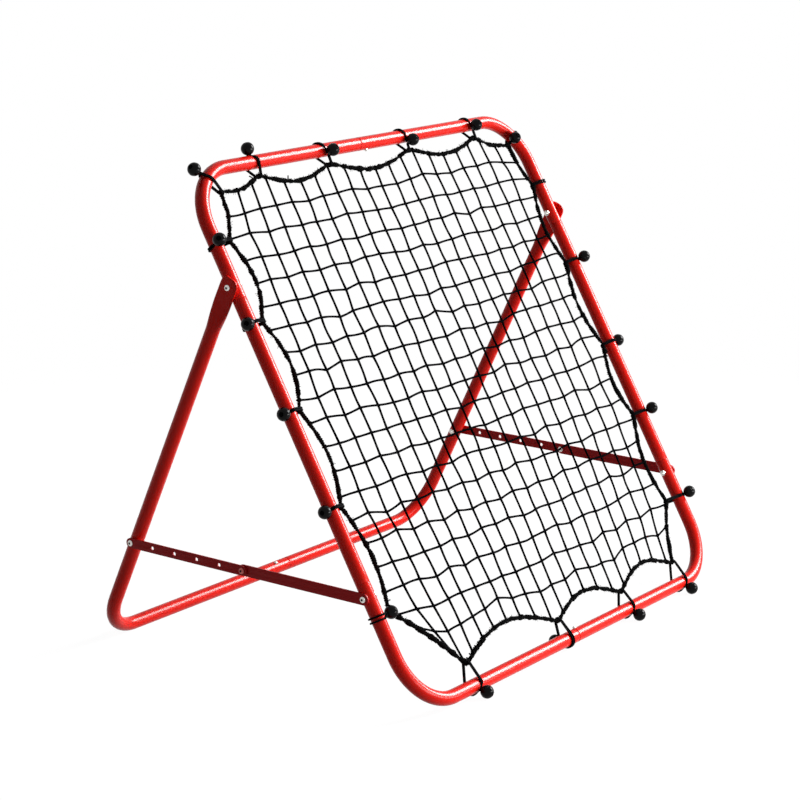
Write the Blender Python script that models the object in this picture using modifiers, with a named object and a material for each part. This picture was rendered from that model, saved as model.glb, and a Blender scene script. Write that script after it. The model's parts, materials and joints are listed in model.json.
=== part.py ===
# A folding soccer rebounder: a square tube frame that leans back on a U-shaped rear stand, with
# two flat strut bars a side, and a net hung in the frame by bungee balls.
# Metres, +Z up. The ground is z = 0, the net's playing side looks along -Y, left is -X.

import math

import bmesh
import bpy
from mathutils import Matrix, Vector

# The square front frame
frame_width = 1.000
frame_height = 1.000
tube_diameter = 0.025
tube_wall = 0.0012
corner_bend_radius = 0.100
side_seam_from_middle = 0.257
top_seam_x = -0.014
bottom_seam_x = -0.010

# The rear stand
leg_length = 0.747
leg_bend_radius = 0.085
crossbar_seam_x = 0.037
paddle_width = 0.036
paddle_thickness = 0.004
paddle_above_bolt = 0.018
paddle_below_bolt = 0.028
press_length = 0.057
paddle_top_share = 0.62
leg_bore_below_press = 0.006
leg_bore_turn = math.radians(4)

# Swaged tube ends, and the sprung buttons that lock the three middle joints
spigot_length = 0.050
swage_taper = 0.002
spigot_clearance = 0.0007
top_button_from_seam = 0.020
bottom_button_from_seam = 0.009
crossbar_button_from_seam = -0.037
button_radius = 0.003
button_proud = 0.0035
button_dome = 0.0018
button_flange_radius = 0.0045
button_flange_thickness = 0.0012
spring_width = 0.008
spring_thickness = 0.0008
spring_length = 0.040
spring_behind_button = 0.004
spring_flat_past_button = 0.006
spring_fold_share = 0.18

# The strut bars and the bolts that everything turns on
leg_bolt_from_middle = 0.281
strut_bolt_from_middle = 0.281
leg_to_strut_bolt = 0.5334
strut_length = 0.254
strut_thickness = 0.003
front_strut_width = 0.020
rear_strut_width = 0.018
strut_end_reach = 0.010
adjusting_pitch = 0.0508
bolt_radius = 0.003
bolt_clearance = 0.0003
bolt_head_radius = 0.0055
bolt_head_height = 0.0033
bolt_dome_angle = 40
bolt_socket_radius = 0.0019
bolt_socket_depth = 0.0018
bolt_past_nut = 0.0015
nut_across_flats = 0.010
nut_height = 0.005

# The net, its border rope and the bungee balls
net_cells = 17
net_evening_rounds = 150
net_twine = 0.003
rope_diameter = 0.005
cord_diameter = 0.005
ball_diameter = 0.0234
cord_reach_in_ball = 0.6
strand_spread = 0.006
net_edge_from_rope = 0.0179
net_edge_sag_less = 0.0105
rope_step = 0.031
tie_below_strut_bolt = 0.0305

# Clearances, and the share of a round bore that its flat facets leave free
fit_gap = 0.0003
strut_leg_clearance = 0.0008
facet_room = 0.95

# Sizes worked out from those above
tube_radius = tube_diameter / 2
half_width = frame_width / 2 - tube_radius
side_length = frame_height - tube_diameter
side_middle = side_length / 2
spigot_radius = tube_radius - tube_wall - spigot_clearance
tube_sides = 12
bend_steps = 6
press_steps = 5
flat_of_tube = tube_radius * math.cos(math.pi / tube_sides)
ball_radius = ball_diameter / 2
ball_from_axis = tube_radius + fit_gap + ball_radius
cord_radius = cord_diameter / 2
rope_radius = rope_diameter / 2
belt_steps = 10
belt_radius = (tube_radius + fit_gap + cord_radius) / math.cos(math.pi / belt_steps)
rail_z = belt_radius + cord_radius
crossbar_z = flat_of_tube
leg_bolt_height = side_middle + leg_bolt_from_middle
strut_bolt_height = side_middle - strut_bolt_from_middle
lowest_left_share = -(strut_bolt_from_middle + tie_below_strut_bolt) / side_middle
leg_offset_at_bolt = tube_radius + fit_gap + paddle_thickness / 2


# The angle between upright and leg follows from the two strut bars lying in one straight line
def angle_between_upright_and_leg():
    upright_side = leg_bolt_height - strut_bolt_height
    leg_side = leg_to_strut_bolt
    strut_side = 2 * strut_length
    cosine = (upright_side**2 + leg_side**2 - strut_side**2) / (2 * upright_side * leg_side)
    return math.acos(cosine)


fold_angle = angle_between_upright_and_leg()
stand_up = leg_bolt_height - leg_length * math.cos(fold_angle)
stand_back = leg_length * math.sin(fold_angle)
stand_reach = math.hypot(stand_up, stand_back)
lean = math.acos((crossbar_z - rail_z) / stand_reach) - math.atan2(stand_back, stand_up)
leg_lean = fold_angle - lean
stand_depth = stand_up * math.sin(lean) + stand_back * math.cos(lean)

# The origin is the middle of the ground under the object's outline
ball_rise = math.asin((ball_radius - rail_z) / ball_from_axis)
front_reach = ball_from_axis * math.cos(ball_rise) + ball_radius
rail_y = -(stand_depth + flat_of_tube - front_reach) / 2

# Where the bungees sit, clockwise seen from the front. The share runs along a side's half length
# from its middle; on a bend it is the angle round the bend, in degrees from +X. Then come the
# rope's distance in from the tube's axis, the ball's angle from straight out towards the front,
# how far the ball is pulled along the tube, and the rope's sag on the way to the next bungee.
FLOOR_FRONT = "on the ground in front"
FLOOR_REAR = "on the ground behind"
TIES = (
    ("bungee_top_left", "top_left_bend", 120.7, 0.0325, 17, 0.021, 0.010),
    ("bungee_top_1", "top", -0.638, 0.024, 17, -0.007, 0.022),
    ("bungee_top_2", "top", -0.230, 0.026, 112, -0.003, 0.024),
    ("bungee_top_3", "top", 0.267, 0.026, 128, -0.002, 0.022),
    ("bungee_top_4", "top", 0.706, 0.026, 112, -0.007, 0.008),
    ("bungee_top_right", "top_right_bend", 39.1, 0.0271, 134, 0.0, 0.006),
    ("bungee_right_1", "right", 0.700, 0.0195, -40, 0.0, 0.022),
    ("bungee_right_2", "right", 0.356, 0.0245, 56, 0.0, 0.024),
    ("bungee_right_3", "right", -0.009, 0.022, 15, 0.0, 0.022),
    ("bungee_right_4", "right", -0.317, 0.026, 56, 0.0, 0.024),
    ("bungee_right_5", "right", -0.686, 0.0445, 56, 0.0, 0.008),
    ("bungee_bottom_4", "bottom", 0.769, 0.040, FLOOR_FRONT, 0.0, 0.030),
    ("bungee_bottom_3", "bottom", 0.367, 0.033, FLOOR_FRONT, 0.0, 0.031),
    ("bungee_bottom_2", "bottom", -0.076, 0.036, FLOOR_REAR, 0.0, 0.038),
    ("bungee_bottom_1", "bottom", -0.663, 0.040, FLOOR_FRONT, 0.0, 0.005),
    ("bungee_left_5", "left", lowest_left_share, 0.0385, 158, 0.0, 0.020),
    ("bungee_left_4", "left", -0.257, 0.0265, 15, 0.0, 0.023),
    ("bungee_left_3", "left", 0.102, 0.0275, 20, 0.0, 0.026),
    ("bungee_left_2", "left", 0.432, 0.030, 32, 0.0, 0.025),
    ("bungee_left_1", "left", 0.737, 0.0355, 55, 0.0, 0.008),
)
ball_inside_tie = "bungee_left_5"
ball_inside_distance = 0.0415

parts = bpy.data.collections.new("soccer_rebounder")
cutters = bpy.data.collections.new("cutters")


def clear_scene():
    for old in list(bpy.data.objects):
        bpy.data.objects.remove(old)
    for collection in (parts, cutters):
        bpy.context.scene.collection.children.link(collection)


def make_material(name, colour, roughness, metallic=0.0):
    material = bpy.data.materials.new(name)
    material.use_nodes = True
    shader = material.node_tree.nodes["Principled BSDF"]
    shader.inputs["Base Color"].default_value = (*colour, 1.0)
    shader.inputs["Roughness"].default_value = roughness
    shader.inputs["Metallic"].default_value = metallic
    material.diffuse_color = (*colour, 1.0)
    return material


red_coat = make_material("red_powder_coat", (0.72, 0.02, 0.015), 0.25)
dark_red_coat = make_material("dark_red_powder_coat", (0.16, 0.008, 0.012), 0.4)
zinc = make_material("zinc_plated_steel", (0.62, 0.60, 0.55), 0.35, 1.0)
spring_steel = make_material("spring_steel", (0.35, 0.35, 0.36), 0.4, 1.0)
black_plastic = make_material("black_plastic", (0.008, 0.008, 0.008), 0.2)
black_rope = make_material("black_rope", (0.01, 0.01, 0.01), 0.85)
black_twine = make_material("black_twine", (0.012, 0.012, 0.012), 0.8)


def finish_part(obj, parent, material):
    obj.parent = parent
    obj.data.materials.clear()
    obj.data.materials.append(material)
    for collection in list(obj.users_collection):
        collection.objects.unlink(obj)
    parts.objects.link(obj)
    return obj


def make_cutter(obj, parent):
    obj.parent = parent
    obj.hide_render = True
    obj.display_type = "WIRE"
    for collection in list(obj.users_collection):
        collection.objects.unlink(obj)
    cutters.objects.link(obj)
    return obj


def boolean(obj, tool, operation):
    modifier = obj.modifiers.new(operation.lower(), "BOOLEAN")
    modifier.operation = operation
    modifier.object = tool
    modifier.solver = "EXACT"


def add_empty(name, location, turn_about_x=0.0, parent=None):
    empty = bpy.data.objects.new(name, None)
    empty.location = location
    empty.rotation_euler = (turn_about_x, 0.0, 0.0)
    empty.empty_display_size = 0.05
    empty.parent = parent
    parts.objects.link(empty)
    return empty


def curve_object(name, points, radii, bevel, sides, cyclic=False, caps=True, tilt=0.0):
    curve = bpy.data.curves.new(name, "CURVE")
    curve.dimensions = "3D"
    curve.bevel_depth = bevel
    curve.bevel_resolution = (sides - 4) // 2
    curve.use_fill_caps = caps
    spline = curve.splines.new("POLY")
    spline.points.add(len(points) - 1)
    spline.use_cyclic_u = cyclic
    spline.use_smooth = True
    for point, place, radius in zip(spline.points, points, radii):
        point.co = (*place, 1.0)
        point.radius = radius / bevel
        point.tilt = tilt
    return bpy.data.objects.new(name, curve)


def mesh_from_curve(obj):
    bpy.context.scene.collection.objects.link(obj)
    graph = bpy.context.evaluated_depsgraph_get()
    mesh = bpy.data.meshes.new_from_object(obj.evaluated_get(graph))
    name = obj.name
    matrix = obj.matrix_world.copy()
    bpy.data.objects.remove(obj)
    mesh.name = name
    work = bmesh.new()
    work.from_mesh(mesh)
    bmesh.ops.remove_doubles(work, verts=work.verts, dist=1e-6)
    bmesh.ops.recalc_face_normals(work, faces=work.faces)
    work.to_mesh(mesh)
    work.free()
    result = bpy.data.objects.new(name, mesh)
    result.matrix_world = matrix
    return result


def smooth(obj, degrees=35):
    obj.data.shade_smooth()
    obj.data.set_sharp_from_angle(angle=math.radians(degrees))


# A path with its corner rounded to an arc
def rounded_path(start, corner, end, radius, steps):
    back = (start - corner).normalized()
    ahead = (end - corner).normalized()
    angle = back.angle(ahead)
    middle = corner + (back + ahead).normalized() * radius / math.sin(angle / 2)
    reach = radius / math.tan(angle / 2)
    arm = corner + back * reach - middle
    turn = math.pi - angle
    axis = arm.cross(corner + ahead * reach - middle).normalized()
    path = [middle + Matrix.Rotation(turn * i / steps, 3, axis) @ arm for i in range(steps + 1)]
    return [start, *path, end]


def cylinder(name, centre, axis, radius, length, sides=12):
    mesh = bpy.data.meshes.new(name)
    work = bmesh.new()
    bmesh.ops.create_cone(
        work, cap_ends=True, segments=sides, radius1=radius, radius2=radius, depth=length
    )
    work.to_mesh(mesh)
    work.free()
    obj = bpy.data.objects.new(name, mesh)
    obj.location = centre
    obj.rotation_mode = "QUATERNION"
    obj.rotation_quaternion = Vector((0, 0, 1)).rotation_difference(Vector(axis))
    return obj


def bolt_hole(obj, x, y, z, parent):
    radius = bolt_radius + bolt_clearance
    tool = cylinder(f"{obj.name}_bolt_hole", (x, y, z), (1, 0, 0), radius, 3 * tube_diameter)
    boolean(obj, make_cutter(tool, parent), "DIFFERENCE")


def button_hole(obj, x, z, up, parent):
    radius = button_radius + fit_gap
    centre = Vector((x, 0, z)) + Vector(up) * tube_radius
    tool = cylinder(f"{obj.name}_button_hole", centre, up, radius, tube_diameter)
    boolean(obj, make_cutter(tool, parent), "DIFFERENCE")


# A spigot leads on from a seam: the swage sits just before it, the narrow end beyond it
def spigot_points(seam, outwards):
    shoulder = seam - outwards * swage_taper
    tip = seam + outwards * spigot_length
    return [shoulder, seam, tip], [tube_radius, spigot_radius, spigot_radius]


def hollow_tube(name, points, radii, parent):
    obj = curve_object(name, points, radii, tube_radius, tube_sides, caps=False)
    obj = mesh_from_curve(obj)
    finish_part(obj, parent, red_coat)
    wall = obj.modifiers.new("wall", "SOLIDIFY")
    wall.thickness = tube_wall
    wall.offset = -1
    smooth(obj)
    return obj


# One corner of the frame: half a rail, the bend, and down or up the side to the seam
def frame_corner(name, side, rail_height, seam_height, seam_x, is_male, parent):
    rail_end = Vector((seam_x, 0, rail_height))
    corner = Vector((side * half_width, 0, rail_height))
    side_end = Vector((side * half_width, 0, seam_height))
    bend = rounded_path(rail_end, corner, side_end, corner_bend_radius, bend_steps)
    radii = [tube_radius] * len(bend)
    if is_male:
        ends, end_radii = spigot_points(rail_end, Vector((-side, 0, 0)))
        bend = ends[::-1] + bend[1:]
        radii = end_radii[::-1] + radii[1:]
    else:
        bend[0] = rail_end + Vector((side * fit_gap, 0, 0))
    return hollow_tube(name, bend, radii, parent)


def frame_side(name, side, parent):
    x = side * half_width
    up = Vector((0, 0, 1))
    low = Vector((x, 0, side_middle - side_seam_from_middle))
    high = Vector((x, 0, side_middle + side_seam_from_middle))
    low_points, low_radii = spigot_points(low, -up)
    high_points, high_radii = spigot_points(high, up)
    points = low_points[::-1] + high_points
    radii = low_radii[::-1] + high_radii
    return hollow_tube(name, points, radii, parent)


def build_frame(frame):
    low_seam = side_middle - side_seam_from_middle - fit_gap
    high_seam = side_middle + side_seam_from_middle + fit_gap
    for label, side in (("left", -1), ("right", 1)):
        male = side < 0
        x = side * half_width
        upper = frame_corner(
            f"frame_corner_upper_{label}", side, side_length, high_seam, top_seam_x, male, frame
        )
        lower = frame_corner(
            f"frame_corner_lower_{label}", side, 0.0, low_seam, bottom_seam_x, male, frame
        )
        tube = frame_side(f"frame_side_{label}", side, frame)
        bolt_hole(upper, x, 0, leg_bolt_height, frame)
        bolt_hole(tube, x, 0, leg_bolt_height, frame)
        bolt_hole(lower, x, 0, strut_bolt_height, frame)
        bolt_hole(tube, x, 0, strut_bolt_height, frame)
        button_hole(upper, top_seam_x + top_button_from_seam, side_length, (0, 0, -1), frame)
        button_hole(lower, bottom_seam_x + bottom_button_from_seam, 0.0, (0, 0, 1), frame)


def smoothstep(value):
    value = min(1.0, max(0.0, value))
    return value * value * (3 - 2 * value)


# How far outside the upright's axis the leg's axis runs: it stands off at its flat top, and
# slants in from there to the crossbar
def leg_offset(below_bolt):
    slant_run = leg_length - paddle_below_bolt
    return leg_offset_at_bolt * (1 - max(0.0, below_bolt - paddle_below_bolt) / slant_run)


def leg_axis(side, below_bolt):
    return Vector((side * (half_width + leg_offset(below_bolt)), 0, -below_bolt))


# Presses the leg's top flat: both faces come in to the paddle's thickness and the edges spread
def press_flat(obj, side):
    for vertex in obj.data.vertices:
        below_bolt = -vertex.co.z
        centre_x = leg_axis(side, below_bolt).x
        round_again = smoothstep((below_bolt - paddle_below_bolt) / press_length)
        if below_bolt > paddle_below_bolt + press_length:
            continue
        half_thickness = paddle_thickness / 2 + (tube_radius - paddle_thickness / 2) * round_again
        width = paddle_width + (tube_diameter - paddle_width) * round_again
        near_top = smoothstep((below_bolt + paddle_above_bolt) / (paddle_above_bolt / 2))
        width *= paddle_top_share + (1 - paddle_top_share) * near_top
        out = vertex.co.x - centre_x
        vertex.co.x = centre_x + min(half_thickness, max(-half_thickness, out))
        vertex.co.y *= width / tube_diameter


def rear_leg(name, side, is_male, leg):
    foot = Vector((side * half_width, 0, -leg_length))
    seam = Vector((crossbar_seam_x, 0, -leg_length))
    inwards = Vector((-side, 0, 0))
    press_end = paddle_below_bolt + press_length
    levels = [-paddle_above_bolt * share for share in (1, 0.8, 0.5)]
    levels += [paddle_below_bolt + press_length * i / press_steps for i in range(press_steps + 1)]
    bend = rounded_path(leg_axis(side, press_end), foot, seam, leg_bend_radius, bend_steps)
    points = [leg_axis(side, level) for level in levels] + bend[1:]
    radii = [tube_radius] * len(points)
    bore = [leg_axis(side, press_end + leg_bore_below_press)] + bend[1:-1]
    bore_radius = tube_radius - tube_wall
    bore_radii = [bore_radius] * len(bore)
    if is_male:
        ends, end_radii = spigot_points(seam, inwards)
        points = points[:-1] + ends
        radii = radii[:-1] + end_radii
        bore += ends
        bore_radii += [radius - tube_wall for radius in end_radii]
        bore[-1] = bore[-1] + inwards * tube_wall
    else:
        points[-1] = seam - inwards * fit_gap
        bore.append(seam + inwards * tube_wall)
        bore_radii.append(bore_radius)
    # The section is turned so that one flat of the crossbar lies on the ground
    tilt = side * (leg_lean - math.pi / tube_sides)
    obj = curve_object(name, points, radii, tube_radius, tube_sides, tilt=tilt)
    obj = finish_part(mesh_from_curve(obj), leg, red_coat)
    press_flat(obj, side)
    # The bore's edges are turned off the outside's, so that they miss the diagonals of its end face
    bore_tilt = tilt + leg_bore_turn
    hollow = curve_object(f"{name}_bore", bore, bore_radii, bore_radius, tube_sides, tilt=bore_tilt)
    boolean(obj, make_cutter(mesh_from_curve(hollow), leg), "DIFFERENCE")
    bolt_hole(obj, side * half_width, 0, 0, leg)
    bolt_hole(obj, side * half_width, 0, -leg_to_strut_bolt, leg)
    button_x = crossbar_seam_x + crossbar_button_from_seam
    button_hole(obj, button_x, -leg_length, (0, 0, 1), leg)
    smooth(obj)
    return obj


# A turned piece: the profile is (radius, height) from the top down its outer side
def turned(name, profile, sides=12):
    mesh = bpy.data.meshes.new(name)
    edges = [(i, i + 1) for i in range(len(profile) - 1)]
    mesh.from_pydata([(radius, 0, height) for radius, height in profile], edges, [])
    obj = bpy.data.objects.new(name, mesh)
    screw = obj.modifiers.new("turn", "SCREW")
    screw.axis = "Z"
    screw.steps = sides
    screw.render_steps = sides
    screw.use_merge_vertices = True
    screw.merge_threshold = 1e-6
    screw.use_smooth_shade = True
    return obj


def bolt(name, place, side, length, parent):
    dome = [
        (bolt_head_radius * math.cos(angle), bolt_head_height * math.sin(angle))
        for angle in (math.radians(bolt_dome_angle), 0.0)
    ]
    socket_floor = bolt_head_height - bolt_socket_depth
    profile = [
        (0.0, socket_floor),
        (bolt_socket_radius, socket_floor),
        (bolt_socket_radius, bolt_head_height),
        *dome,
        (bolt_radius, 0.0),
        (bolt_radius, -length),
        (0.0, -length),
    ]
    obj = turned(name, profile)
    obj.location = place
    obj.rotation_euler = (0, side * math.pi / 2, 0)
    return finish_part(obj, parent, zinc)


def hexagon_nut(name, place, parent, hole=True):
    curve = bpy.data.curves.new(name, "CURVE")
    curve.dimensions = "2D"
    curve.fill_mode = "BOTH"
    curve.extrude = nut_height / 2
    corner = nut_across_flats / 2 / math.cos(math.pi / 6)
    add_ring(curve, 6, corner, 0.0, 0.0)
    if hole:
        add_ring(curve, 12, bolt_radius + bolt_clearance, 0.0, 0.0)
    obj = bpy.data.objects.new(name, curve)
    obj.location = place
    obj.rotation_euler = (0, math.pi / 2, 0)
    return finish_part(obj, parent, zinc)


def add_ring(curve, count, radius, x, y):
    spline = curve.splines.new("POLY")
    spline.points.add(count - 1)
    spline.use_cyclic_u = True
    for i, point in enumerate(spline.points):
        angle = 2 * math.pi * i / count
        point.co = (x + radius * math.cos(angle), y + radius * math.sin(angle), 0, 1)


# A flat bar with round ends. Its first bolt is at the origin and the bar runs along its own +Z.
def strut_bar(name, width, hole_places, lean_out, parent):
    curve = bpy.data.curves.new(name, "CURVE")
    curve.dimensions = "2D"
    curve.fill_mode = "BOTH"
    curve.extrude = strut_thickness / 2
    outline = []
    end_steps = 6
    for centre, start in ((strut_length, -math.pi / 2), (0.0, math.pi / 2)):
        for i in range(end_steps + 1):
            angle = start + math.pi * i / end_steps
            reach = strut_end_reach * math.cos(angle)
            outline.append((centre + reach, width / 2 * math.sin(angle)))
    spline = curve.splines.new("POLY")
    spline.points.add(len(outline) - 1)
    spline.use_cyclic_u = True
    for point, (x, y) in zip(spline.points, outline):
        point.co = (x, y, 0, 1)
    for place in hole_places:
        add_ring(curve, 10, bolt_radius + bolt_clearance, place, 0.0)
    obj = bpy.data.objects.new(name, curve)
    obj.rotation_euler = (0, -math.pi / 2 + lean_out, 0)
    return finish_part(obj, parent, dark_red_coat)


def build_stand(frame, leg):
    frame_up = Vector((0, math.sin(lean), math.cos(lean)))
    leg_down = Vector((0, math.sin(leg_lean), -math.cos(leg_lean)))
    rail = Vector((0, rail_y, rail_z))
    pivot = rail + frame_up * leg_bolt_height
    low_bolt = rail + frame_up * strut_bolt_height
    leg_bolt_place = pivot + leg_down * leg_to_strut_bolt
    span = leg_bolt_place - low_bolt
    # The front bar's own +Z points to the rear, the rear bar's to the front
    front_turn = -math.atan2(span.y, span.z)
    rear_turn = math.pi + front_turn
    at_leg = leg_offset(leg_to_strut_bolt)
    rear_inner = at_leg + tube_radius + strut_leg_clearance
    rear_middle = rear_inner + strut_thickness / 2
    front_inner = tube_radius + fit_gap
    front_middle = front_inner + strut_thickness / 2
    knee_middle = rear_middle - strut_thickness - fit_gap
    slant = math.atan2(knee_middle - front_middle, strut_length)
    nut_gap = fit_gap + nut_height / 2
    for label, side in (("left", -1), ("right", 1)):
        rear_leg(f"rear_leg_{label}", side, side > 0, leg)
        front_x = side * (half_width + front_middle)
        rear_x = side * (half_width + rear_middle)
        front = add_empty(f"front_strut_pivot_{label}", (front_x, *low_bolt[1:]), front_turn)
        rear = add_empty(f"rear_strut_pivot_{label}", (rear_x, *leg_bolt_place[1:]), rear_turn)
        strut_bar(
            f"front_strut_{label}", front_strut_width, (0, strut_length), side * slant, front
        )
        holes = [0.0]
        while holes[-1] + adjusting_pitch < strut_length - bolt_head_radius:
            holes.append(holes[-1] + adjusting_pitch)
        strut_bar(f"rear_strut_{label}", rear_strut_width, (*holes, strut_length), 0.0, rear)

        # The bolt through paddle and upright, and the one through front bar and upright
        head = half_width + leg_offset_at_bolt + paddle_thickness / 2 + fit_gap
        nut = half_width - tube_radius - nut_gap
        length = head - nut + nut_height / 2 + bolt_past_nut
        place = (side * head, 0, leg_bolt_height)
        bolt(f"leg_bolt_{label}", place, side, length, frame)
        hexagon_nut(f"leg_nut_{label}", (side * nut, 0, leg_bolt_height), frame)
        head = half_width + front_inner + strut_thickness + fit_gap
        length = head - nut + nut_height / 2 + bolt_past_nut
        place = (side * head, 0, strut_bolt_height)
        bolt(f"front_strut_bolt_{label}", place, side, length, frame)
        hexagon_nut(f"front_strut_nut_{label}", (side * nut, 0, strut_bolt_height), frame)

        # The bolt through rear bar and leg
        head = half_width + rear_inner + strut_thickness + fit_gap
        nut = half_width + at_leg - tube_radius - nut_gap
        length = head - nut + nut_height / 2 + bolt_past_nut
        place = (side * head, 0, -leg_to_strut_bolt)
        bolt(f"rear_strut_bolt_{label}", place, side, length, leg)
        hexagon_nut(f"rear_strut_nut_{label}", (side * nut, 0, -leg_to_strut_bolt), leg)

        # The adjusting bolt at the knee. Its head stays in the rear bar and its nut end in the
        # front bar, with a gap between the bars, so the two bars can part there as they fold.
        head_x = side * (strut_thickness / 2 + fit_gap)
        length = strut_thickness + fit_gap * 1.5
        bolt(f"knee_bolt_{label}", (head_x, 0, strut_length), side, length, rear)
        nut_x = side * (knee_middle - front_middle - strut_thickness / 2 - nut_gap)
        knee = hexagon_nut(f"knee_nut_{label}", (nut_x, 0, strut_length), None, hole=False)
        knee = finish_part(mesh_from_curve(knee), front, zinc)
        stub_length = strut_thickness + fit_gap + nut_height / 2
        stub_place = (nut_x + side * stub_length / 2, 0, strut_length)
        stub = cylinder(f"{knee.name}_stub", stub_place, (1, 0, 0), bolt_radius, stub_length)
        boolean(knee, make_cutter(stub, front), "UNION")


# The sprung button of a middle joint, and its leaf spring folded inside the spigot
def snap_button(name, centre, inwards, spring_way, parent):
    bore = spigot_radius - tube_wall
    flange_top = math.sqrt(bore**2 - button_flange_radius**2) * facet_room - fit_gap
    tip = tube_radius + button_proud
    profile = [(0.0, tip)]
    for i in range(1, 4):
        angle = math.radians(90 - 30 * i)
        radius = button_radius * math.cos(angle)
        profile.append((radius, tip - button_dome + button_dome * math.sin(angle)))
    profile += [
        (button_radius, flange_top),
        (button_flange_radius, flange_top),
        (button_flange_radius, flange_top - button_flange_thickness),
        (0.0, flange_top - button_flange_thickness),
    ]
    button = turned(name, profile)
    button.location = centre
    button.rotation_euler = (0 if inwards > 0 else math.pi, 0, 0)
    finish_part(button, parent, zinc)
    under = flange_top - button_flange_thickness - fit_gap - spring_thickness / 2
    low = math.sqrt(bore**2 - (spring_width / 2) ** 2) * facet_room
    low -= fit_gap + spring_thickness / 2
    fold = (under + low) * spring_fold_share
    start = -spring_behind_button
    fold_start = spring_length - spring_behind_button
    route = [(start, under), (spring_flat_past_button, under), (fold_start, -low + 2 * fold)]
    route += [(spring_length, -low + fold), (fold_start, -low), (start, -low)]
    mesh = bpy.data.meshes.new(f"{name}_spring")
    half = spring_width / 2
    corners = [(spring_way * x, y, z) for x, z in route for y in (-half, half)]
    strips = [(2 * i, 2 * i + 1, 2 * i + 3, 2 * i + 2) for i in range(len(route) - 1)]
    mesh.from_pydata(corners, [], strips)
    spring = bpy.data.objects.new(f"{name}_spring", mesh)
    spring.location = centre
    spring.rotation_euler = button.rotation_euler
    leaf = spring.modifiers.new("thickness", "SOLIDIFY")
    leaf.thickness = spring_thickness
    leaf.offset = 0
    finish_part(spring, parent, spring_steel)


# A bungee's place: the point on the tube's axis, straight out, the front, and along the tube
def tie_axes(where, share):
    bend_x = half_width - corner_bend_radius
    bend_z = side_length - corner_bend_radius
    if where.endswith("bend"):
        centre = Vector((bend_x if where == "top_right_bend" else -bend_x, 0, bend_z))
        angle = math.radians(share)
        out = Vector((math.cos(angle), 0, math.sin(angle)))
        return centre + out * corner_bend_radius, out, Vector((-out.z, 0, out.x))
    side = -1 if where in ("left", "bottom") else 1
    if where in ("left", "right"):
        point = Vector((side * half_width, 0, side_middle * (1 + share)))
        return point, Vector((side, 0, 0)), Vector((0, 0, 1))
    point = Vector((half_width * share, 0, side_length if side > 0 else 0.0))
    return point, Vector((0, 0, side)), Vector((1, 0, 0))


def ball_angle(stated):
    if stated == FLOOR_FRONT:
        return math.pi / 2 - lean + ball_rise
    if stated == FLOOR_REAR:
        return math.pi / 2 - lean - math.pi - ball_rise
    return math.radians(stated)


def cross(a, b, c):
    return (b[0] - a[0]) * (c[1] - a[1]) - (b[1] - a[1]) * (c[0] - a[0])


def convex_hull(points):
    ordered = sorted(points)
    halves = []
    for run in (ordered, ordered[::-1]):
        chain = []
        for point in run:
            while len(chain) > 1 and cross(chain[-2], chain[-1], point) <= 1e-12:
                chain.pop()
            chain.append(point)
        halves += chain[:-1]
    return halves


# How far in from its knot the cord has to pass to clear the border rope's two arms there
def depth_past_rope(index, out, along):
    places = knots()
    clear = rope_radius + cord_radius + 2 * fit_gap
    arms = [border_point(places, (index + i / 40) % len(places)) for i in range(-8, 9)]
    sides = [places[index] + along * cord_radius * k for k in (-1, 0, 1)]
    depth = clear
    while min((side - out * depth - arm).length for arm in arms for side in sides) < clear:
        depth += fit_gap
    return depth


# The cord from the ball round the tube and the border rope and back, as (out, front) points
def cord_belt(inset, depth, ball_out, ball_front):
    rope_steps = 8
    round_rope = (rope_radius + fit_gap + cord_radius) / math.cos(math.pi / rope_steps)
    depth = max(depth, round_rope + fit_gap / 4)
    flank = cord_radius * 1.3
    points = [(ball_out, ball_front), (-inset - depth, 0.0)]
    points += [(fit_gap - inset - depth, flank), (fit_gap - inset - depth, -flank)]
    for count, radius, centre in ((belt_steps, belt_radius, 0.0), (rope_steps, round_rope, -inset)):
        for i in range(count):
            angle = 2 * math.pi * (i + 0.5) / count
            points.append((centre + radius * math.cos(angle), radius * math.sin(angle)))
    hull = convex_hull(points)
    first = hull.index(points[0])
    hull = hull[first:] + hull[:first]
    return hull[1:], points[1]


def bungee(index, frame):
    name, where, share, inset, stated_angle, pull, _ = TIES[index]
    point, out, along = tie_axes(where, share)
    front = Vector((0, -1, 0))
    distance = ball_inside_distance if name == ball_inside_tie else ball_from_axis
    angle = ball_angle(stated_angle)
    ball_out = distance * math.cos(angle)
    ball_front = distance * math.sin(angle)
    belt, far_point = cord_belt(inset, depth_past_rope(index, out, along), ball_out, ball_front)
    far = belt.index(far_point)
    ball_place = point + out * ball_out + front * ball_front + along * pull
    route = []
    for i, (o, f) in enumerate(belt):
        if i <= far:
            phase = (i + 1) / (far + 1)
        else:
            phase = 1 + (i - far) / (len(belt) - far)
        to_ball = (phase - 1) ** 2
        wave = math.sin(math.pi * phase)
        spread = strand_spread * wave * abs(wave)
        offset = 0.0 if o < -inset else spread + pull * to_ball
        route.append(point + out * o + front * f + along * offset)
    hidden = ball_radius * cord_reach_in_ball
    start = ball_place + (route[0] - ball_place).normalized() * hidden
    end = ball_place + (route[-1] - ball_place).normalized() * hidden
    route = [start, *route, end]
    cord = curve_object(name, route, [cord_radius] * len(route), cord_radius, 6)
    cord = finish_part(mesh_from_curve(cord), frame, black_plastic)
    mesh = bpy.data.meshes.new(f"{name}_ball")
    work = bmesh.new()
    bmesh.ops.create_icosphere(work, subdivisions=2, radius=ball_radius)
    work.to_mesh(mesh)
    work.free()
    ball = bpy.data.objects.new(f"{name}_ball", mesh)
    ball.location = ball_place
    # The sphere's pole looks straight down at the ground
    ball.rotation_euler = (lean, 0, 0)
    boolean(cord, make_cutter(ball, frame), "UNION")
    smooth(cord, 60)
    return cord


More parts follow.
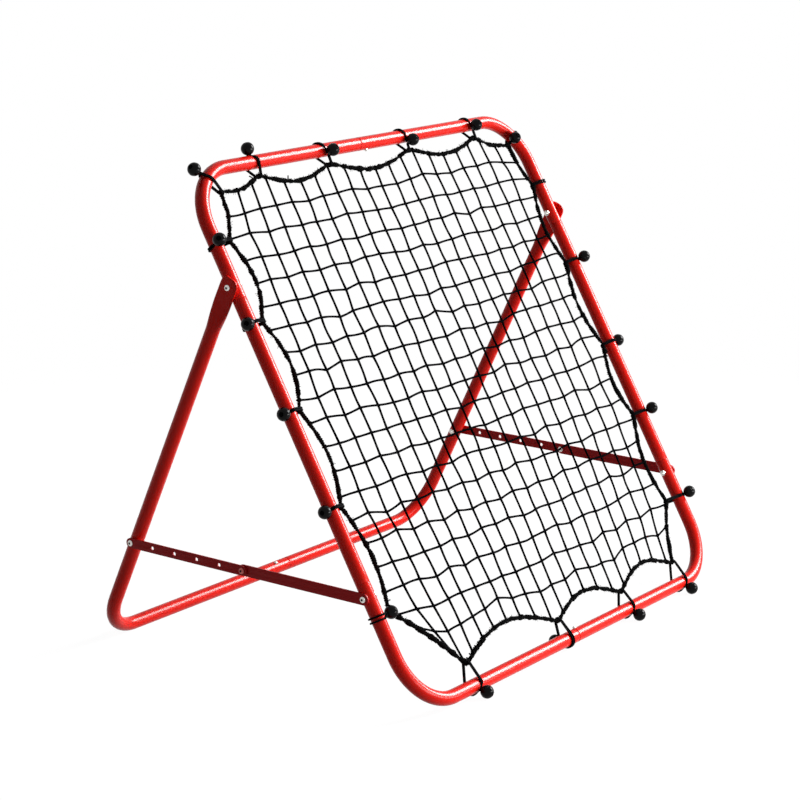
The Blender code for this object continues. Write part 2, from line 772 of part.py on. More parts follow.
# The border rope's knots, moved further in from the tube by extra
def knots(extra=0.0):
    places = []
    for _, where, share, inset, _, _, _ in TIES:
        point, out, _ = tie_axes(where, share)
        places.append(point - out * (inset + extra))
    return places


# A point of the border: the whole number is the knot, the rest is the way to the next one
def border_point(places, position, sag_less=0.0):
    index = int(position) % len(places)
    part_way = position - int(position)
    start = places[index]
    end = places[(index + 1) % len(places)]
    chord = end - start
    inwards = Vector((chord.z, 0, -chord.x)).normalized()
    sag = TIES[index][6]
    sag -= min(sag_less, sag / 2)
    return start.lerp(end, part_way) + inwards * sag * math.sin(math.pi * part_way)


def build_rope(frame):
    places = knots()
    points = []
    for index in range(len(places)):
        length = (places[(index + 1) % len(places)] - places[index]).length
        steps = max(3, round(length / rope_step))
        points += [border_point(places, index + i / steps) for i in range(steps)]
    radii = [rope_radius] * len(points)
    obj = curve_object("border_rope", points, radii, rope_radius, 6, cyclic=True)
    finish_part(obj, frame, black_rope)


# Even steps of x or z along one stretch of the net's edge
def edge_line(places, first, last, count, axis):
    fine = 400
    line = [
        border_point(places, (first + (last - first) * i / fine) % len(places), net_edge_sag_less)
        for i in range(fine + 1)
    ]
    line = line if line[0][axis] < line[-1][axis] else line[::-1]
    result = []
    for k in range(count + 1):
        wanted = line[0][axis] + (line[-1][axis] - line[0][axis]) * k / count
        i = next((i for i in range(1, fine + 1) if line[i][axis] >= wanted - 1e-9), fine)
        result.append(line[i])
    return result


# The net's meshes: edges on the border, with the inner knots drawn even like a stretched net
def build_net(frame):
    places = knots(net_edge_from_rope)
    count = net_cells
    top = edge_line(places, 0, 5, count, 0)
    right = edge_line(places, 5, 10.5, count, 2)
    bottom = edge_line(places, 10.5, 15.5, count, 0)
    left = edge_line(places, 15.5, 20, count, 2)
    grid = {}
    for i in range(count + 1):
        for k in range(count + 1):
            a = i / count
            b = k / count
            mixed = bottom[i] * (1 - b) + top[i] * b + left[k] * (1 - a) + right[k] * a
            mixed -= bottom[0] * (1 - a) * (1 - b) + bottom[-1] * a * (1 - b)
            mixed -= top[0] * (1 - a) * b + top[-1] * a * b
            grid[i, k] = mixed
    for _ in range(net_evening_rounds):
        for i in range(1, count):
            for k in range(1, count):
                grid[i, k] = (grid[i - 1, k] + grid[i + 1, k] + grid[i, k - 1] + grid[i, k + 1]) / 4
    mesh = bpy.data.meshes.new("net")
    work = bmesh.new()
    bmesh.ops.create_grid(work, x_segments=count, y_segments=count, size=count / 2)
    for vertex in work.verts:
        i = round(vertex.co.x + count / 2)
        k = round(vertex.co.y + count / 2)
        vertex.co = grid[i, k]
    bmesh.ops.recalc_face_normals(work, faces=work.faces)
    work.to_mesh(mesh)
    work.free()
    obj = bpy.data.objects.new("net", mesh)
    twine = obj.modifiers.new("twine", "WIREFRAME")
    twine.thickness = net_twine
    twine.use_replace = True
    twine.use_boundary = True
    finish_part(obj, frame, black_twine)


def main():
    clear_scene()
    # The frame's axes: +X across, +Z up the frame, -Y out of its front
    frame = add_empty("frame_axes", (0, rail_y, rail_z), -lean)
    frame_up = Vector((0, math.sin(lean), math.cos(lean)))
    pivot = Vector((0, rail_y, rail_z)) + frame_up * leg_bolt_height
    leg = add_empty("leg_pivot", pivot, leg_lean)
    build_frame(frame)
    build_stand(frame, leg)
    top_x = top_seam_x + top_button_from_seam
    bottom_x = bottom_seam_x + bottom_button_from_seam
    crossbar_x = crossbar_seam_x + crossbar_button_from_seam
    snap_button("top_rail_button", (top_x, 0, side_length), -1, -1, frame)
    snap_button("bottom_rail_button", (bottom_x, 0, 0), 1, -1, frame)
    snap_button("crossbar_button", (crossbar_x, 0, -leg_length), 1, 1, leg)
    build_net(frame)
    build_rope(frame)
    for index in range(len(TIES)):
        bungee(index, frame)


main()
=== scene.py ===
import json
import math
import random

import bmesh
import bpy
import numpy as np
from mathutils import Matrix, Vector


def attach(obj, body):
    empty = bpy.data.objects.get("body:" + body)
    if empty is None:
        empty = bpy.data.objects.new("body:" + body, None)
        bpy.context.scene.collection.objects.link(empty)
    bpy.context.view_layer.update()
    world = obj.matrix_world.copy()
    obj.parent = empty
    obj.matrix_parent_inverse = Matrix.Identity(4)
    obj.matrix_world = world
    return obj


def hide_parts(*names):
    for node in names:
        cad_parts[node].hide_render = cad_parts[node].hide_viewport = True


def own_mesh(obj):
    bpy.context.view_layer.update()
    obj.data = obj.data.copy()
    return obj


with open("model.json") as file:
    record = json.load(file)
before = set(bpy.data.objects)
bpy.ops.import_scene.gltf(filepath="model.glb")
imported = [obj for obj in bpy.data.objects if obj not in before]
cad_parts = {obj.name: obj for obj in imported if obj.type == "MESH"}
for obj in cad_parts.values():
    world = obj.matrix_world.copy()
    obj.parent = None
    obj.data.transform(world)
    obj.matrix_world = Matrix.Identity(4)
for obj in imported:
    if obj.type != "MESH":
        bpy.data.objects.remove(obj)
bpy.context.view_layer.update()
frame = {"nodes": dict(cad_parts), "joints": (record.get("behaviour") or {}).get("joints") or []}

# A folding soccer rebounder. Metres, +Z up, the net's playing side looks along -Y, left is -X.
scene = bpy.context.scene
dice = random.Random(41)
bothSides = (("left", -1), ("right", 1))
rearward = np.array([0.0, 1.0, 0.0])
forward = np.array([0.0, -1.0, 0.0])

# Where the bolts sit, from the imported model's own joints
pivots = {joint["name"]: Vector(joint["pos_m"]) for joint in frame["joints"] if "pos_m" in joint}
legBolt = pivots["leg_fold"]
frontBarBolt = pivots["front_bar_turn_left"]
rearBarBolt = pivots["rear_bar_turn_left"]

# The front frame: x across, y towards the rear, z up the slope from the bottom rail's axis.
# A seam's fit is its gap and its swage's length.
frameTube = {
    "halfWidth": 0.4875,
    "height": 0.975,
    "radius": 0.0125,
    "wall": 0.0012,
    "bendRadius": 0.100,
    "bendSteps": 30,
    "ringStep": 0.020,
    "sides": 48,
    "sideSeam": 0.257,
    "topSeam": -0.014,
    "bottomSeam": -0.010,
    "railFit": (0.0003, 0.0020),
    "sideFit": (0.00008, 0.0007),
    "spigotLength": 0.050,
    "spigotRadius": 0.0106,
    "spigotRoot": 0.00025,
    "spigotChamfer": (0.0012, 0.0005),
    "swageShape": ((1.0, 0.0), (0.72, 0.00008), (0.45, 0.00035), (0.2, 0.0009)),
    "lipLength": 0.0030,
    "lipShape": ((0.0007, 0.0), (0.0003, 0.0001), (0.0, 0.0004)),
    "endClearance": 0.0005,
    "boltFromMiddle": 0.281,
    "boltHole": 0.0033,
    "boltDrill": 0.06,
    "buttonHole": 0.0033,
    "buttonDrill": 0.016,
    "drillSides": 28,
    "besideHoles": (-0.008, 0.0, 0.008),
    "topButton": 0.006,
    "bottomButton": -0.001,
}
rearLeg = {
    "length": 0.747,
    "bendRadius": 0.085,
    "seam": 0.037,
    "button": 0.0,
    "boltDrill": 0.07,
    "paddleHalfWidth": 0.018,
    "paddleHalfThickness": 0.002,
    "paddleAbove": 0.018,
    "paddleBelow": 0.028,
    "pressLength": 0.057,
    "pressSteps": 14,
    "topLevels": (0.998, 0.985, 0.95, 0.9, 0.82, 0.7, 0.55, 0.4),
    "boltLevels": (-0.004, 0.0, 0.004, 0.012, 0.02),
    "tipStart": 0.9,
    "tipTaper": 4.0,
    "edgeSharpness": 5.0,
    "topSharpness": 2.8,
    "gap": 0.0003,
}

middle = frameTube["height"] / 2
frameUp = (legBolt - frontBarBolt).normalized()
lean = math.atan2(frameUp.y, frameUp.z)
railAxis = legBolt - frameUp * (middle + frameTube["boltFromMiddle"])
legDown = (rearBarBolt - legBolt).normalized()
legLean = math.atan2(legDown.y, -legDown.z)
boltDrop = (rearBarBolt - legBolt).length
frameMatrix = Matrix.Translation(railAxis) @ Matrix.Rotation(-lean, 4, "X")
legMatrix = Matrix.Translation(legBolt) @ Matrix.Rotation(legLean, 4, "X")
legStandOff = frameTube["radius"] + rearLeg["gap"] + rearLeg["paddleHalfThickness"]


# Materials
def newMaterial(name):
    material = bpy.data.materials.new(name)
    material.use_nodes = True
    tree = material.node_tree
    return material, tree, tree.nodes["Principled BSDF"]


def newGroup(name, inputs, outputs):
    group = bpy.data.node_groups.new(name, "ShaderNodeTree")
    for label, kind, value in inputs:
        socket = group.interface.new_socket(label, in_out="INPUT", socket_type=kind)
        if value is not None:
            socket.default_value = value
    for label, kind in outputs:
        group.interface.new_socket(label, in_out="OUTPUT", socket_type=kind)
    return group, group.nodes.new("NodeGroupInput"), group.nodes.new("NodeGroupOutput")


# Gives a socket a number, a colour or another node's output
def feed(tree, socket, value):
    if isinstance(value, (int, float)):
        socket.default_value = value
    elif isinstance(value, tuple):
        socket.default_value = (*value, 1.0)
    else:
        tree.links.new(value, socket)


def feedAll(tree, node, values):
    for label, value in values.items():
        feed(tree, node.inputs[label], value)


def objectPlace(tree):
    return tree.nodes.new("ShaderNodeTexCoord").outputs["Object"]


def noiseNode(tree, vector, scale, detail=3.0, roughness=0.5):
    node = tree.nodes.new("ShaderNodeTexNoise")
    feedAll(tree, node, {"Vector": vector, "Scale": scale, "Detail": detail, "Roughness": roughness})
    return node.outputs["Fac"]


def mathNode(tree, operation, first, second=None, clamp=False):
    node = tree.nodes.new("ShaderNodeMath")
    node.operation = operation
    node.use_clamp = clamp
    feed(tree, node.inputs[0], first)
    if second is not None:
        feed(tree, node.inputs[1], second)
    return node.outputs[0]


def rangeNode(tree, value, fromLow, fromHigh, toLow, toHigh):
    node = tree.nodes.new("ShaderNodeMapRange")
    feedAll(tree, node, {"Value": value, "From Min": fromLow, "From Max": fromHigh})
    feedAll(tree, node, {"To Min": toLow, "To Max": toHigh})
    return node.outputs["Result"]


def mixColour(tree, factor, first, second):
    node = tree.nodes.new("ShaderNodeMix")
    node.data_type = "RGBA"
    for index, value in ((0, factor), (6, first), (7, second)):
        feed(tree, node.inputs[index], value)
    return node.outputs[2]


def bumpNode(tree, shader, height, strength, depth):
    node = tree.nodes.new("ShaderNodeBump")
    feedAll(tree, node, {"Strength": strength, "Distance": depth, "Height": height})
    feed(tree, shader.inputs["Normal"], node.outputs["Normal"])


# Powder coat: a fine orange-peel height, a slow drift of shade, and rubbed edges
powderCoat = {
    "driftScale": 9.0,
    "driftShade": (0.94, 1.05),
    "speckScale": 420.0,
    "speckDulling": 0.03,
    "sharpEdges": (0.52, 0.62),
    "rubbedSpecks": (0.42, 0.66),
    "rubbedDulling": 0.2,
    "peelDepth": 0.0002,
}


def makeCoatGroup():
    group, given, result = newGroup(
        "powderCoat",
        [
            ("Colour", "NodeSocketColor", None),
            ("Rubbed Colour", "NodeSocketColor", None),
            ("Peel Scale", "NodeSocketFloat", 900.0),
            ("Edge Wear", "NodeSocketFloat", 0.3),
        ],
        [("Colour", "NodeSocketColor"), ("Height", "NodeSocketFloat"), ("Gloss Loss", "NodeSocketFloat")],
    )
    place = objectPlace(group)
    drift = noiseNode(group, place, powderCoat["driftScale"], 4.0)
    speck = noiseNode(group, place, powderCoat["speckScale"], 5.0, 0.7)
    edge = group.nodes.new("ShaderNodeNewGeometry").outputs["Pointiness"]
    sharp = rangeNode(group, edge, *powderCoat["sharpEdges"], 0.0, 1.0)
    patchy = rangeNode(group, speck, *powderCoat["rubbedSpecks"], 0.0, 1.0)
    worn = mathNode(group, "MULTIPLY", sharp, patchy)
    rubbed = mathNode(group, "MULTIPLY", worn, given.outputs["Edge Wear"], True)
    tinted = group.nodes.new("ShaderNodeVectorMath")
    tinted.operation = "SCALE"
    feed(group, tinted.inputs[0], given.outputs["Colour"])
    feed(group, tinted.inputs["Scale"], rangeNode(group, drift, 0.3, 0.7, *powderCoat["driftShade"]))
    dull = rangeNode(group, speck, 0.35, 0.75, 0.0, powderCoat["speckDulling"])
    rubbedDull = mathNode(group, "MULTIPLY", rubbed, powderCoat["rubbedDulling"])
    feedAll(group, result, {
        "Colour": mixColour(group, rubbed, tinted.outputs[0], given.outputs["Rubbed Colour"]),
        "Height": noiseNode(group, place, given.outputs["Peel Scale"], 2.0),
        "Gloss Loss": mathNode(group, "ADD", dull, rubbedDull),
    })
    return group


# Braided sheath: two crossing spirals of strands from the UV map, u round the cord, v in metres
def makeBraidGroup():
    group, given, result = newGroup(
        "braid",
        [
            ("Strands", "NodeSocketFloat", 4.0),
            ("Per Metre", "NodeSocketFloat", 180.0),
            ("Fuzz Scale", "NodeSocketFloat", 1500.0),
        ],
        [("Height", "NodeSocketFloat"), ("Fuzz", "NodeSocketFloat")],
    )
    fibre = group.nodes.new("ShaderNodeUVMap")
    fibre.uv_map = "fibre"
    parts = group.nodes.new("ShaderNodeSeparateXYZ")
    feed(group, parts.inputs[0], fibre.outputs["UV"])
    around = mathNode(group, "MULTIPLY", parts.outputs["X"], given.outputs["Strands"])
    along = mathNode(group, "MULTIPLY", parts.outputs["Y"], given.outputs["Per Metre"])
    waves = []
    for operation in ("ADD", "SUBTRACT"):
        turn = mathNode(group, "MULTIPLY", mathNode(group, operation, along, around), 2 * math.pi)
        waves.append(mathNode(group, "ABSOLUTE", mathNode(group, "SINE", turn)))
    weave = mathNode(group, "MAXIMUM", *waves)
    fuzz = noiseNode(group, objectPlace(group), given.outputs["Fuzz Scale"], 4.0)
    fuzzHeight = mathNode(group, "MULTIPLY", fuzz, 0.6)
    feedAll(group, result, {"Height": mathNode(group, "ADD", weave, fuzzHeight), "Fuzz": fuzz})
    return group


# Bare metal: fine directionless scratches and a cloudy plating
metalPlating = {
    "cloudScale": 420.0,
    "roughness": (0.24, 0.40),
    "scratchScale": 2400.0,
    "scratchStrength": 0.25,
    "scratchDepth": 0.0001,
}


def makePlatingGroup():
    group, given, result = newGroup(
        "plating",
        [("Colour", "NodeSocketColor", None), ("Cloud Colour", "NodeSocketColor", None)],
        [("Colour", "NodeSocketColor"), ("Roughness", "NodeSocketFloat"), ("Height", "NodeSocketFloat")],
    )
    place = objectPlace(group)
    cloud = noiseNode(group, place, metalPlating["cloudScale"], 4.0, 0.6)
    clouded = rangeNode(group, cloud, 0.35, 0.65, 0.0, 1.0)
    feedAll(group, result, {
        "Colour": mixColour(group, clouded, given.outputs["Colour"], given.outputs["Cloud Colour"]),
        "Roughness": rangeNode(group, cloud, 0.3, 0.7, *metalPlating["roughness"]),
        "Height": noiseNode(group, place, metalPlating["scratchScale"], 2.0),
    })
    return group


coatGroup = makeCoatGroup()
braidGroup = makeBraidGroup()
platingGroup = makePlatingGroup()


def placeGroup(tree, group, values):
    node = tree.nodes.new("ShaderNodeGroup")
    node.node_tree = group
    feedAll(tree, node, values)
    return node.outputs


def coatMaterial(name, look):
    material, tree, shader = newMaterial(name)
    coat = placeGroup(tree, coatGroup, {
        "Colour": look["colour"],
        "Rubbed Colour": look["rubbed"],
        "Peel Scale": look["peelScale"],
        "Edge Wear": look["edgeWear"],
    })
    feedAll(tree, shader, {
        "Base Color": coat["Colour"],
        "Roughness": mathNode(tree, "ADD", coat["Gloss Loss"], look["roughness"]),
        "Specular IOR Level": look["specular"],
    })
    bumpNode(tree, shader, coat["Height"], look["peel"], powderCoat["peelDepth"])
    return material


def fibreMaterial(name, look):
    material, tree, shader = newMaterial(name)
    braid = placeGroup(tree, braidGroup, {
        "Strands": look["strands"],
        "Per Metre": look["perMetre"],
        "Fuzz Scale": look["fuzzScale"],
    })
    feedAll(tree, shader, {
        "Base Color": mixColour(tree, braid["Fuzz"], look["colour"], look["fuzzColour"]),
        "Roughness": look["roughness"],
        "Specular IOR Level": look["specular"],
    })
    bumpNode(tree, shader, braid["Height"], look["bump"], look["depth"])
    return material


def metalMaterial(name, colour, cloudColour):
    material, tree, shader = newMaterial(name)
    plating = placeGroup(tree, platingGroup, {"Colour": colour, "Cloud Colour": cloudColour})
    feedAll(tree, shader, {
        "Metallic": 1.0,
        "Base Color": plating["Colour"],
        "Roughness": plating["Roughness"],
    })
    bumpNode(
        tree, shader, plating["Height"], metalPlating["scratchStrength"], metalPlating["scratchDepth"]
    )
    return material


def ballMaterial(name, look):
    material, tree, shader = newMaterial(name)
    place = objectPlace(tree)
    cloud = noiseNode(tree, place, look["cloudScale"], 3.0)
    feedAll(tree, shader, {
        "Base Color": mixColour(tree, cloud, look["colour"], look["paleColour"]),
        "Roughness": rangeNode(tree, cloud, 0.3, 0.7, *look["roughness"]),
        "Specular IOR Level": look["specular"],
    })
    bumpNode(tree, shader, noiseNode(tree, place, look["grainScale"], 2.0), look["bump"], look["depth"])
    return material


frameRed = coatMaterial("frame_red", {
    "colour": (0.84, 0.013, 0.006),
    "rubbed": (0.86, 0.10, 0.06),
    "peelScale": 500.0,
    "edgeWear": 0.25,
    "roughness": 0.24,
    "specular": 0.10,
    "peel": 0.003,
})
# The bars' red is darker than the frame's: partly their own duller coat, partly painted shade for the shade
# their flat faces sit in
barRedPaintedShade = coatMaterial("bar_red_painted_shade", {
    "colour": (0.46, 0.010, 0.012),
    "rubbed": (0.52, 0.06, 0.05),
    "peelScale": 900.0,
    "edgeWear": 0.4,
    "roughness": 0.44,
    "specular": 0.14,
    "peel": 0.06,
})
zincPlate = metalMaterial("zinc_plate", (0.46, 0.45, 0.43), (0.62, 0.61, 0.57))
paintedZinc = metalMaterial("painted_zinc", (0.20, 0.035, 0.035), (0.34, 0.13, 0.11))
# Near-black zinc for the hex sockets: painted shade for the shade inside their deep holes
socketPaintedShade = metalMaterial("socket_painted_shade", (0.010, 0.010, 0.010), (0.030, 0.028, 0.025))
blueSteel = metalMaterial("blued_spring", (0.30, 0.30, 0.33), (0.20, 0.21, 0.26))
glossBlack = ballMaterial("ball_black", {
    "colour": (0.0015, 0.0015, 0.002),
    "paleColour": (0.003, 0.003, 0.0035),
    "cloudScale": 120.0,
    "roughness": (0.10, 0.17),
    "specular": 0.075,
    "grainScale": 500.0,
    "bump": 0.05,
    "depth": 0.0003,
})
cordBlack = fibreMaterial("elastic_black", {
    "strands": 6.0,
    "perMetre": 220.0,
    "fuzzScale": 2500.0,
    "colour": (0.002, 0.002, 0.0025),
    "fuzzColour": (0.005, 0.005, 0.006),
    "roughness": 0.70,
    "specular": 0.01,
    "bump": 0.5,
    "depth": 0.0004,
})
ropeBlack = fibreMaterial("rope_black", {
    "strands": 4.0,
    "perMetre": 130.0,
    "fuzzScale": 1800.0,
    "colour": (0.002, 0.002, 0.0025),
    "fuzzColour": (0.018, 0.018, 0.018),
    "roughness": 0.82,
    "specular": 0.0,
    "bump": 0.8,
    "depth": 0.0008,
})
twineBlack = fibreMaterial("twine_black", {
    "strands": 3.0,
    "perMetre": 300.0,
    "fuzzScale": 3000.0,
    "colour": (0.002, 0.002, 0.0025),
    "fuzzColour": (0.004, 0.004, 0.005),
    "roughness": 0.8,
    "specular": 0.0,
    "bump": 0.5,
    "depth": 0.0003,
})
print("materials made")


# Camera and stage
camera = {
    "lens": 107.4,
    "target": (-0.1780, -0.0749, 0.4485),
    "distance": 4.20,
    "azimuth": -53.84,
    "elevation": 13.51,
    "clip": (0.1, 100.0),
}
stage = {
    "floorSize": 60.0,
    "floorColour": (0.30, 0.30, 0.30),
    "floorSeen": (0.95, 0.95, 0.95),
    "floorRoughness": 0.9,
    "white": (1.0, 1.0, 1.0),
    "seenGlow": 0.66,
    "nearGlow": 0.90,
    "farGlow": 1.0,
    "nearClear": 0.88,
    "reach": (0.8, 2.2),
    "worldLight": 0.13,
}
lamps = [
    # name, place, aimed at, size across, size up, watts, seen in reflections only
    ("tall_softbox", (6.29, -3.35, 4.08), (0.0, 0.0, 0.45), 3.0, 3.4, 760.0, False),
    ("low_softbox", (1.4, -3.2, 0.50), (0.0, 0.0, 0.40), 2.4, 0.6, 100.0, False),
    ("gloss_card", (6.29, -3.35, 4.08), (0.0, 0.0, 0.45), 3.0, 3.4, 1600.0, True),
]


def newObject(name, data):
    obj = bpy.data.objects.new(name, data)
    scene.collection.objects.link(obj)
    return obj


def aim(obj, place, target):
    obj.location = place
    obj.rotation_mode = "QUATERNION"
    obj.rotation_quaternion = (Vector(target) - Vector(place)).to_track_quat("-Z", "Y")


def makeCamera():
    data = bpy.data.cameras.new("camera")
    data.lens = camera["lens"]
    data.clip_start, data.clip_end = camera["clip"]
    obj = newObject("camera", data)
    turn = math.radians(camera["azimuth"])
    rise = math.radians(camera["elevation"])
    back = Vector((math.sin(turn) * math.cos(rise), -math.cos(turn) * math.cos(rise), math.sin(rise)))
    aim(obj, Vector(camera["target"]) + back * camera["distance"], camera["target"])
    scene.camera = obj


def reflectedRays(tree, rays):
    return mathNode(tree, "MAXIMUM", rays.outputs["Is Glossy Ray"], rays.outputs["Is Transmission Ray"])


def makeFloor():
    half = stage["floorSize"] / 2
    mesh = bpy.data.meshes.new("floor")
    corners = [(-half, -half, 0), (half, -half, 0), (half, half, 0), (-half, half, 0)]
    mesh.from_pydata(corners, [], [(0, 1, 2, 3)])
    floor = newObject("floor", mesh)
    material, tree, shader = newMaterial("pale_floor")
    rays = tree.nodes.new("ShaderNodeLightPath")
    seen = rays.outputs["Is Camera Ray"]
    length = tree.nodes.new("ShaderNodeVectorMath")
    length.operation = "LENGTH"
    feed(tree, length.inputs[0], objectPlace(tree))
    away = length.outputs["Value"]
    glow = rangeNode(tree, away, *stage["reach"], stage["nearGlow"], stage["farGlow"])
    glow = mathNode(tree, "MULTIPLY", reflectedRays(tree, rays), glow)
    seenGlow = mathNode(tree, "MULTIPLY", seen, stage["seenGlow"])
    feedAll(tree, shader, {
        "Base Color": mixColour(tree, seen, stage["floorColour"], stage["floorSeen"]),
        "Roughness": stage["floorRoughness"],
        "Specular IOR Level": 0.0,
        "Emission Color": stage["white"],
        "Emission Strength": mathNode(tree, "MAXIMUM", glow, seenGlow),
    })
    # Seen from above the floor is a thin white film, so that the folded stand's low end still shows
    clear = rangeNode(tree, away, *stage["reach"], stage["nearClear"], 1.0)
    clear = mathNode(tree, "MULTIPLY", clear, seen)
    backFace = tree.nodes.new("ShaderNodeNewGeometry").outputs["Backfacing"]
    shadowBelow = mathNode(tree, "MULTIPLY", backFace, rays.outputs["Is Shadow Ray"])
    film = tree.nodes.new("ShaderNodeMixShader")
    feed(tree, film.inputs[0], mathNode(tree, "MAXIMUM", clear, shadowBelow))
    feed(tree, film.inputs[1], shader.outputs["BSDF"])
    feed(tree, film.inputs[2], tree.nodes.new("ShaderNodeBsdfTransparent").outputs["BSDF"])
    feed(tree, tree.nodes["Material Output"].inputs["Surface"], film.outputs["Shader"])
    mesh.materials.append(material)


# The room is white to the eye and in reflections, and lights the object only a little
def makeRoom():
    world = bpy.data.worlds.new("white_room")
    world.use_nodes = True
    scene.world = world
    tree = world.node_tree
    rays = tree.nodes.new("ShaderNodeLightPath")
    seen = mathNode(tree, "MAXIMUM", rays.outputs["Is Camera Ray"], reflectedRays(tree, rays))
    feedAll(tree, tree.nodes["Background"], {
        "Color": stage["white"],
        "Strength": rangeNode(tree, seen, 0.0, 1.0, stage["worldLight"], 1.0),
    })


def makeLamps():
    for name, place, target, across, up, watts, glossOnly in lamps:
        data = bpy.data.lights.new(name, "AREA")
        data.shape = "RECTANGLE"
        data.size = across
        data.size_y = up
        data.energy = watts
        lamp = newObject(name, data)
        lamp.visible_diffuse = not glossOnly
        aim(lamp, place, target)


scene.view_settings.view_transform = "Standard"
makeCamera()
makeFloor()
makeRoom()
makeLamps()
print("camera, floor and lamps set")


# Mesh helpers
def unit(vector):
    return vector / np.linalg.norm(vector)


def unitRows(rows):
    return rows / np.linalg.norm(rows, axis=1)[:, None]


def roundTurns(sides):
    return np.arange(sides) / sides * 2 * math.pi


def smoothStep(value):
    value = min(1.0, max(0.0, value))
    return value * value * (3 - 2 * value)


# A place or a way in the plane of the frame or of the stand
def inPlane(x, z):
    return np.array([x, 0.0, z])


def turnTo(direction):
    return Vector((0, 0, 1)).rotation_difference(Vector(direction)).to_matrix().to_4x4()


def shadeSmooth(mesh, sharp):
    mesh.shade_smooth()
    mesh.set_sharp_from_angle(angle=math.radians(sharp))


# Edges of more than the sharp angle stay sharp, and all faces look outwards
def meshPiece(name, points, faces, matrix, material, uvs=None, sharp=40):
    mesh = bpy.data.meshes.new(name)
    mesh.from_pydata([tuple(p) for p in points], [], [tuple(f) for f in faces])
    if uvs is not None:
        layer = mesh.uv_layers.new(name="fibre")
        layer.data.foreach_set("uv", np.asarray(uvs, np.float32).ravel())
    mesh.transform(matrix)
    mesh.materials.append(material)
    shadeSmooth(mesh, sharp)
    work = bmesh.new()
    work.from_mesh(mesh)
    bmesh.ops.recalc_face_normals(work, faces=work.faces)
    work.to_mesh(mesh)
    work.free()
    return newObject(name, mesh)


def finishPiece(obj, body, node):
    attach(obj, body)
    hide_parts(node)
    return obj


# Faces between rings of equally many points. Joined rings go on from the last to the first.
def skinRings(rings, joined=False):
    count = len(rings)
    sides = len(rings[0])
    points = np.concatenate(rings)
    faces = []
    for i in range(count if joined else count - 1):
        a = i * sides
        b = (i + 1) % count * sides
        for k in range(sides):
            n = (k + 1) % sides
            faces.append((a + k, a + n, b + n, b + k))
    if not joined:
        faces.append(tuple(range(sides))[::-1])
        faces.append(tuple(range((count - 1) * sides, count * sides)))
    return points, faces


# Round rings along a path in the frame's xz plane, one radius per point
def planarRings(path, radii):
    path = np.asarray(path, float)
    turn = roundTurns(frameTube["sides"])
    rings = []
    for point, tangent, radius in zip(path, unitRows(np.gradient(path, axis=0)), radii):
        side = np.cross(tangent, rearward)
        rings.append(point + radius * (np.outer(np.cos(turn), side) + np.outer(np.sin(turn), rearward)))
    return rings


# The rings of a tube's outside from end to end, then those of its inside on the way back
def tubeRings(path, radii):
    inner = planarRings(path, [radius - frameTube["wall"] for radius in radii])
    return planarRings(path, radii) + inner[::-1]


# Evenly spaced places from start to end, and more at the marks, by their distance from the start
def straightRun(start, end, marks=()):
    length = np.linalg.norm(end - start)
    count = max(1, round(length / frameTube["ringStep"]))
    even = (i / count for i in range(count + 1))
    marked = (min(1.0, max(0.0, mark / length)) for mark in marks)
    return [start + (end - start) * share for share in sorted({*even, *marked})]


# The same with one round bend in it. The last marks are counted from the bend's end.
def bentRun(start, corner, end, radius, firstMarks=(), lastMarks=()):
    back = unit(start - corner)
    ahead = unit(end - corner)
    half = math.acos(np.clip(back @ ahead, -1, 1)) / 2
    reach = radius / math.tan(half)
    centre = corner + unit(back + ahead) * radius / math.sin(half)
    enter = corner + back * reach
    leave = corner + ahead * reach
    sweep = math.pi - 2 * half
    steps = frameTube["bendSteps"]
    bend = []
    for i in range(1, steps):
        turn = sweep * i / steps
        bend.append(centre + (enter - centre) * math.cos(turn) + -back * radius * math.sin(turn))
    return straightRun(start, enter, firstMarks) + bend + straightRun(leave, end, lastMarks)


# The tube's end at a seam, as (distance out from the seam, outer radius): the male end, then the
# female end
def spigotProfile(fit):
    r = frameTube["radius"]
    s = frameTube["spigotRadius"]
    swage = fit[1]
    length = frameTube["spigotLength"]
    chamferLength, chamferDrop = frameTube["spigotChamfer"]
    profile = [(-swage * share, r - drop) for share, drop in frameTube["swageShape"]]
    profile += [(0.0, s + frameTube["spigotRoot"]), (swage * 0.3, s), (length * 0.5, s)]
    return profile + [(length - chamferLength, s), (length, s - chamferDrop)]


def lipProfile(fit):
    r = frameTube["radius"]
    gap = fit[0]
    return [(-frameTube["lipLength"], r)] + [(-gap - d, r - drop) for d, drop in frameTube["lipShape"]]


def boltHole(x, z, depth):
    return (x, 0, z), (1, 0, 0), frameTube["boltHole"], depth


def buttonHole(x, z):
    return (x, 0, z), (0, 0, 1), frameTube["buttonHole"], frameTube["buttonDrill"]


def drill(obj, holes):
    tools = []
    sides = frameTube["drillSides"]
    for centre, axis, r, depth in holes:
        work = bmesh.new()
        bmesh.ops.create_cone(work, cap_ends=True, segments=sides, radius1=r, radius2=r, depth=depth)
        mesh = bpy.data.meshes.new("drill")
        work.to_mesh(mesh)
        work.free()
        tool = newObject("drill", mesh)
        tool.matrix_world = obj.matrix_world @ Matrix.Translation(centre) @ turnTo(axis)
        tools.append(tool)
        modifier = obj.modifiers.new("drill", "BOOLEAN")
        modifier.operation = "DIFFERENCE"
        modifier.solver = "EXACT"
        modifier.object = tool
    settle(obj)
    for tool in tools:
        bpy.data.objects.remove(tool)


# Applies what is on the piece and moves its place into its mesh
def settle(obj):
    bpy.context.view_layer.update()
    graph = bpy.context.evaluated_depsgraph_get()
    mesh = bpy.data.meshes.new_from_object(obj.evaluated_get(graph))
    mesh.transform(obj.matrix_world)
    obj.modifiers.clear()
    obj.data = mesh
    obj.matrix_world = Matrix.Identity(4)
    shadeSmooth(mesh, 40)


# A red tube with its holes drilled, from its rings in the matrix's space
def drilledTube(name, rings, joined, matrix, holes, body, node):
    obj = meshPiece(name, *skinRings(rings, joined), Matrix.Identity(4), frameRed)
    obj.matrix_world = matrix
    drill(obj, holes)
    finishPiece(obj, body, node)


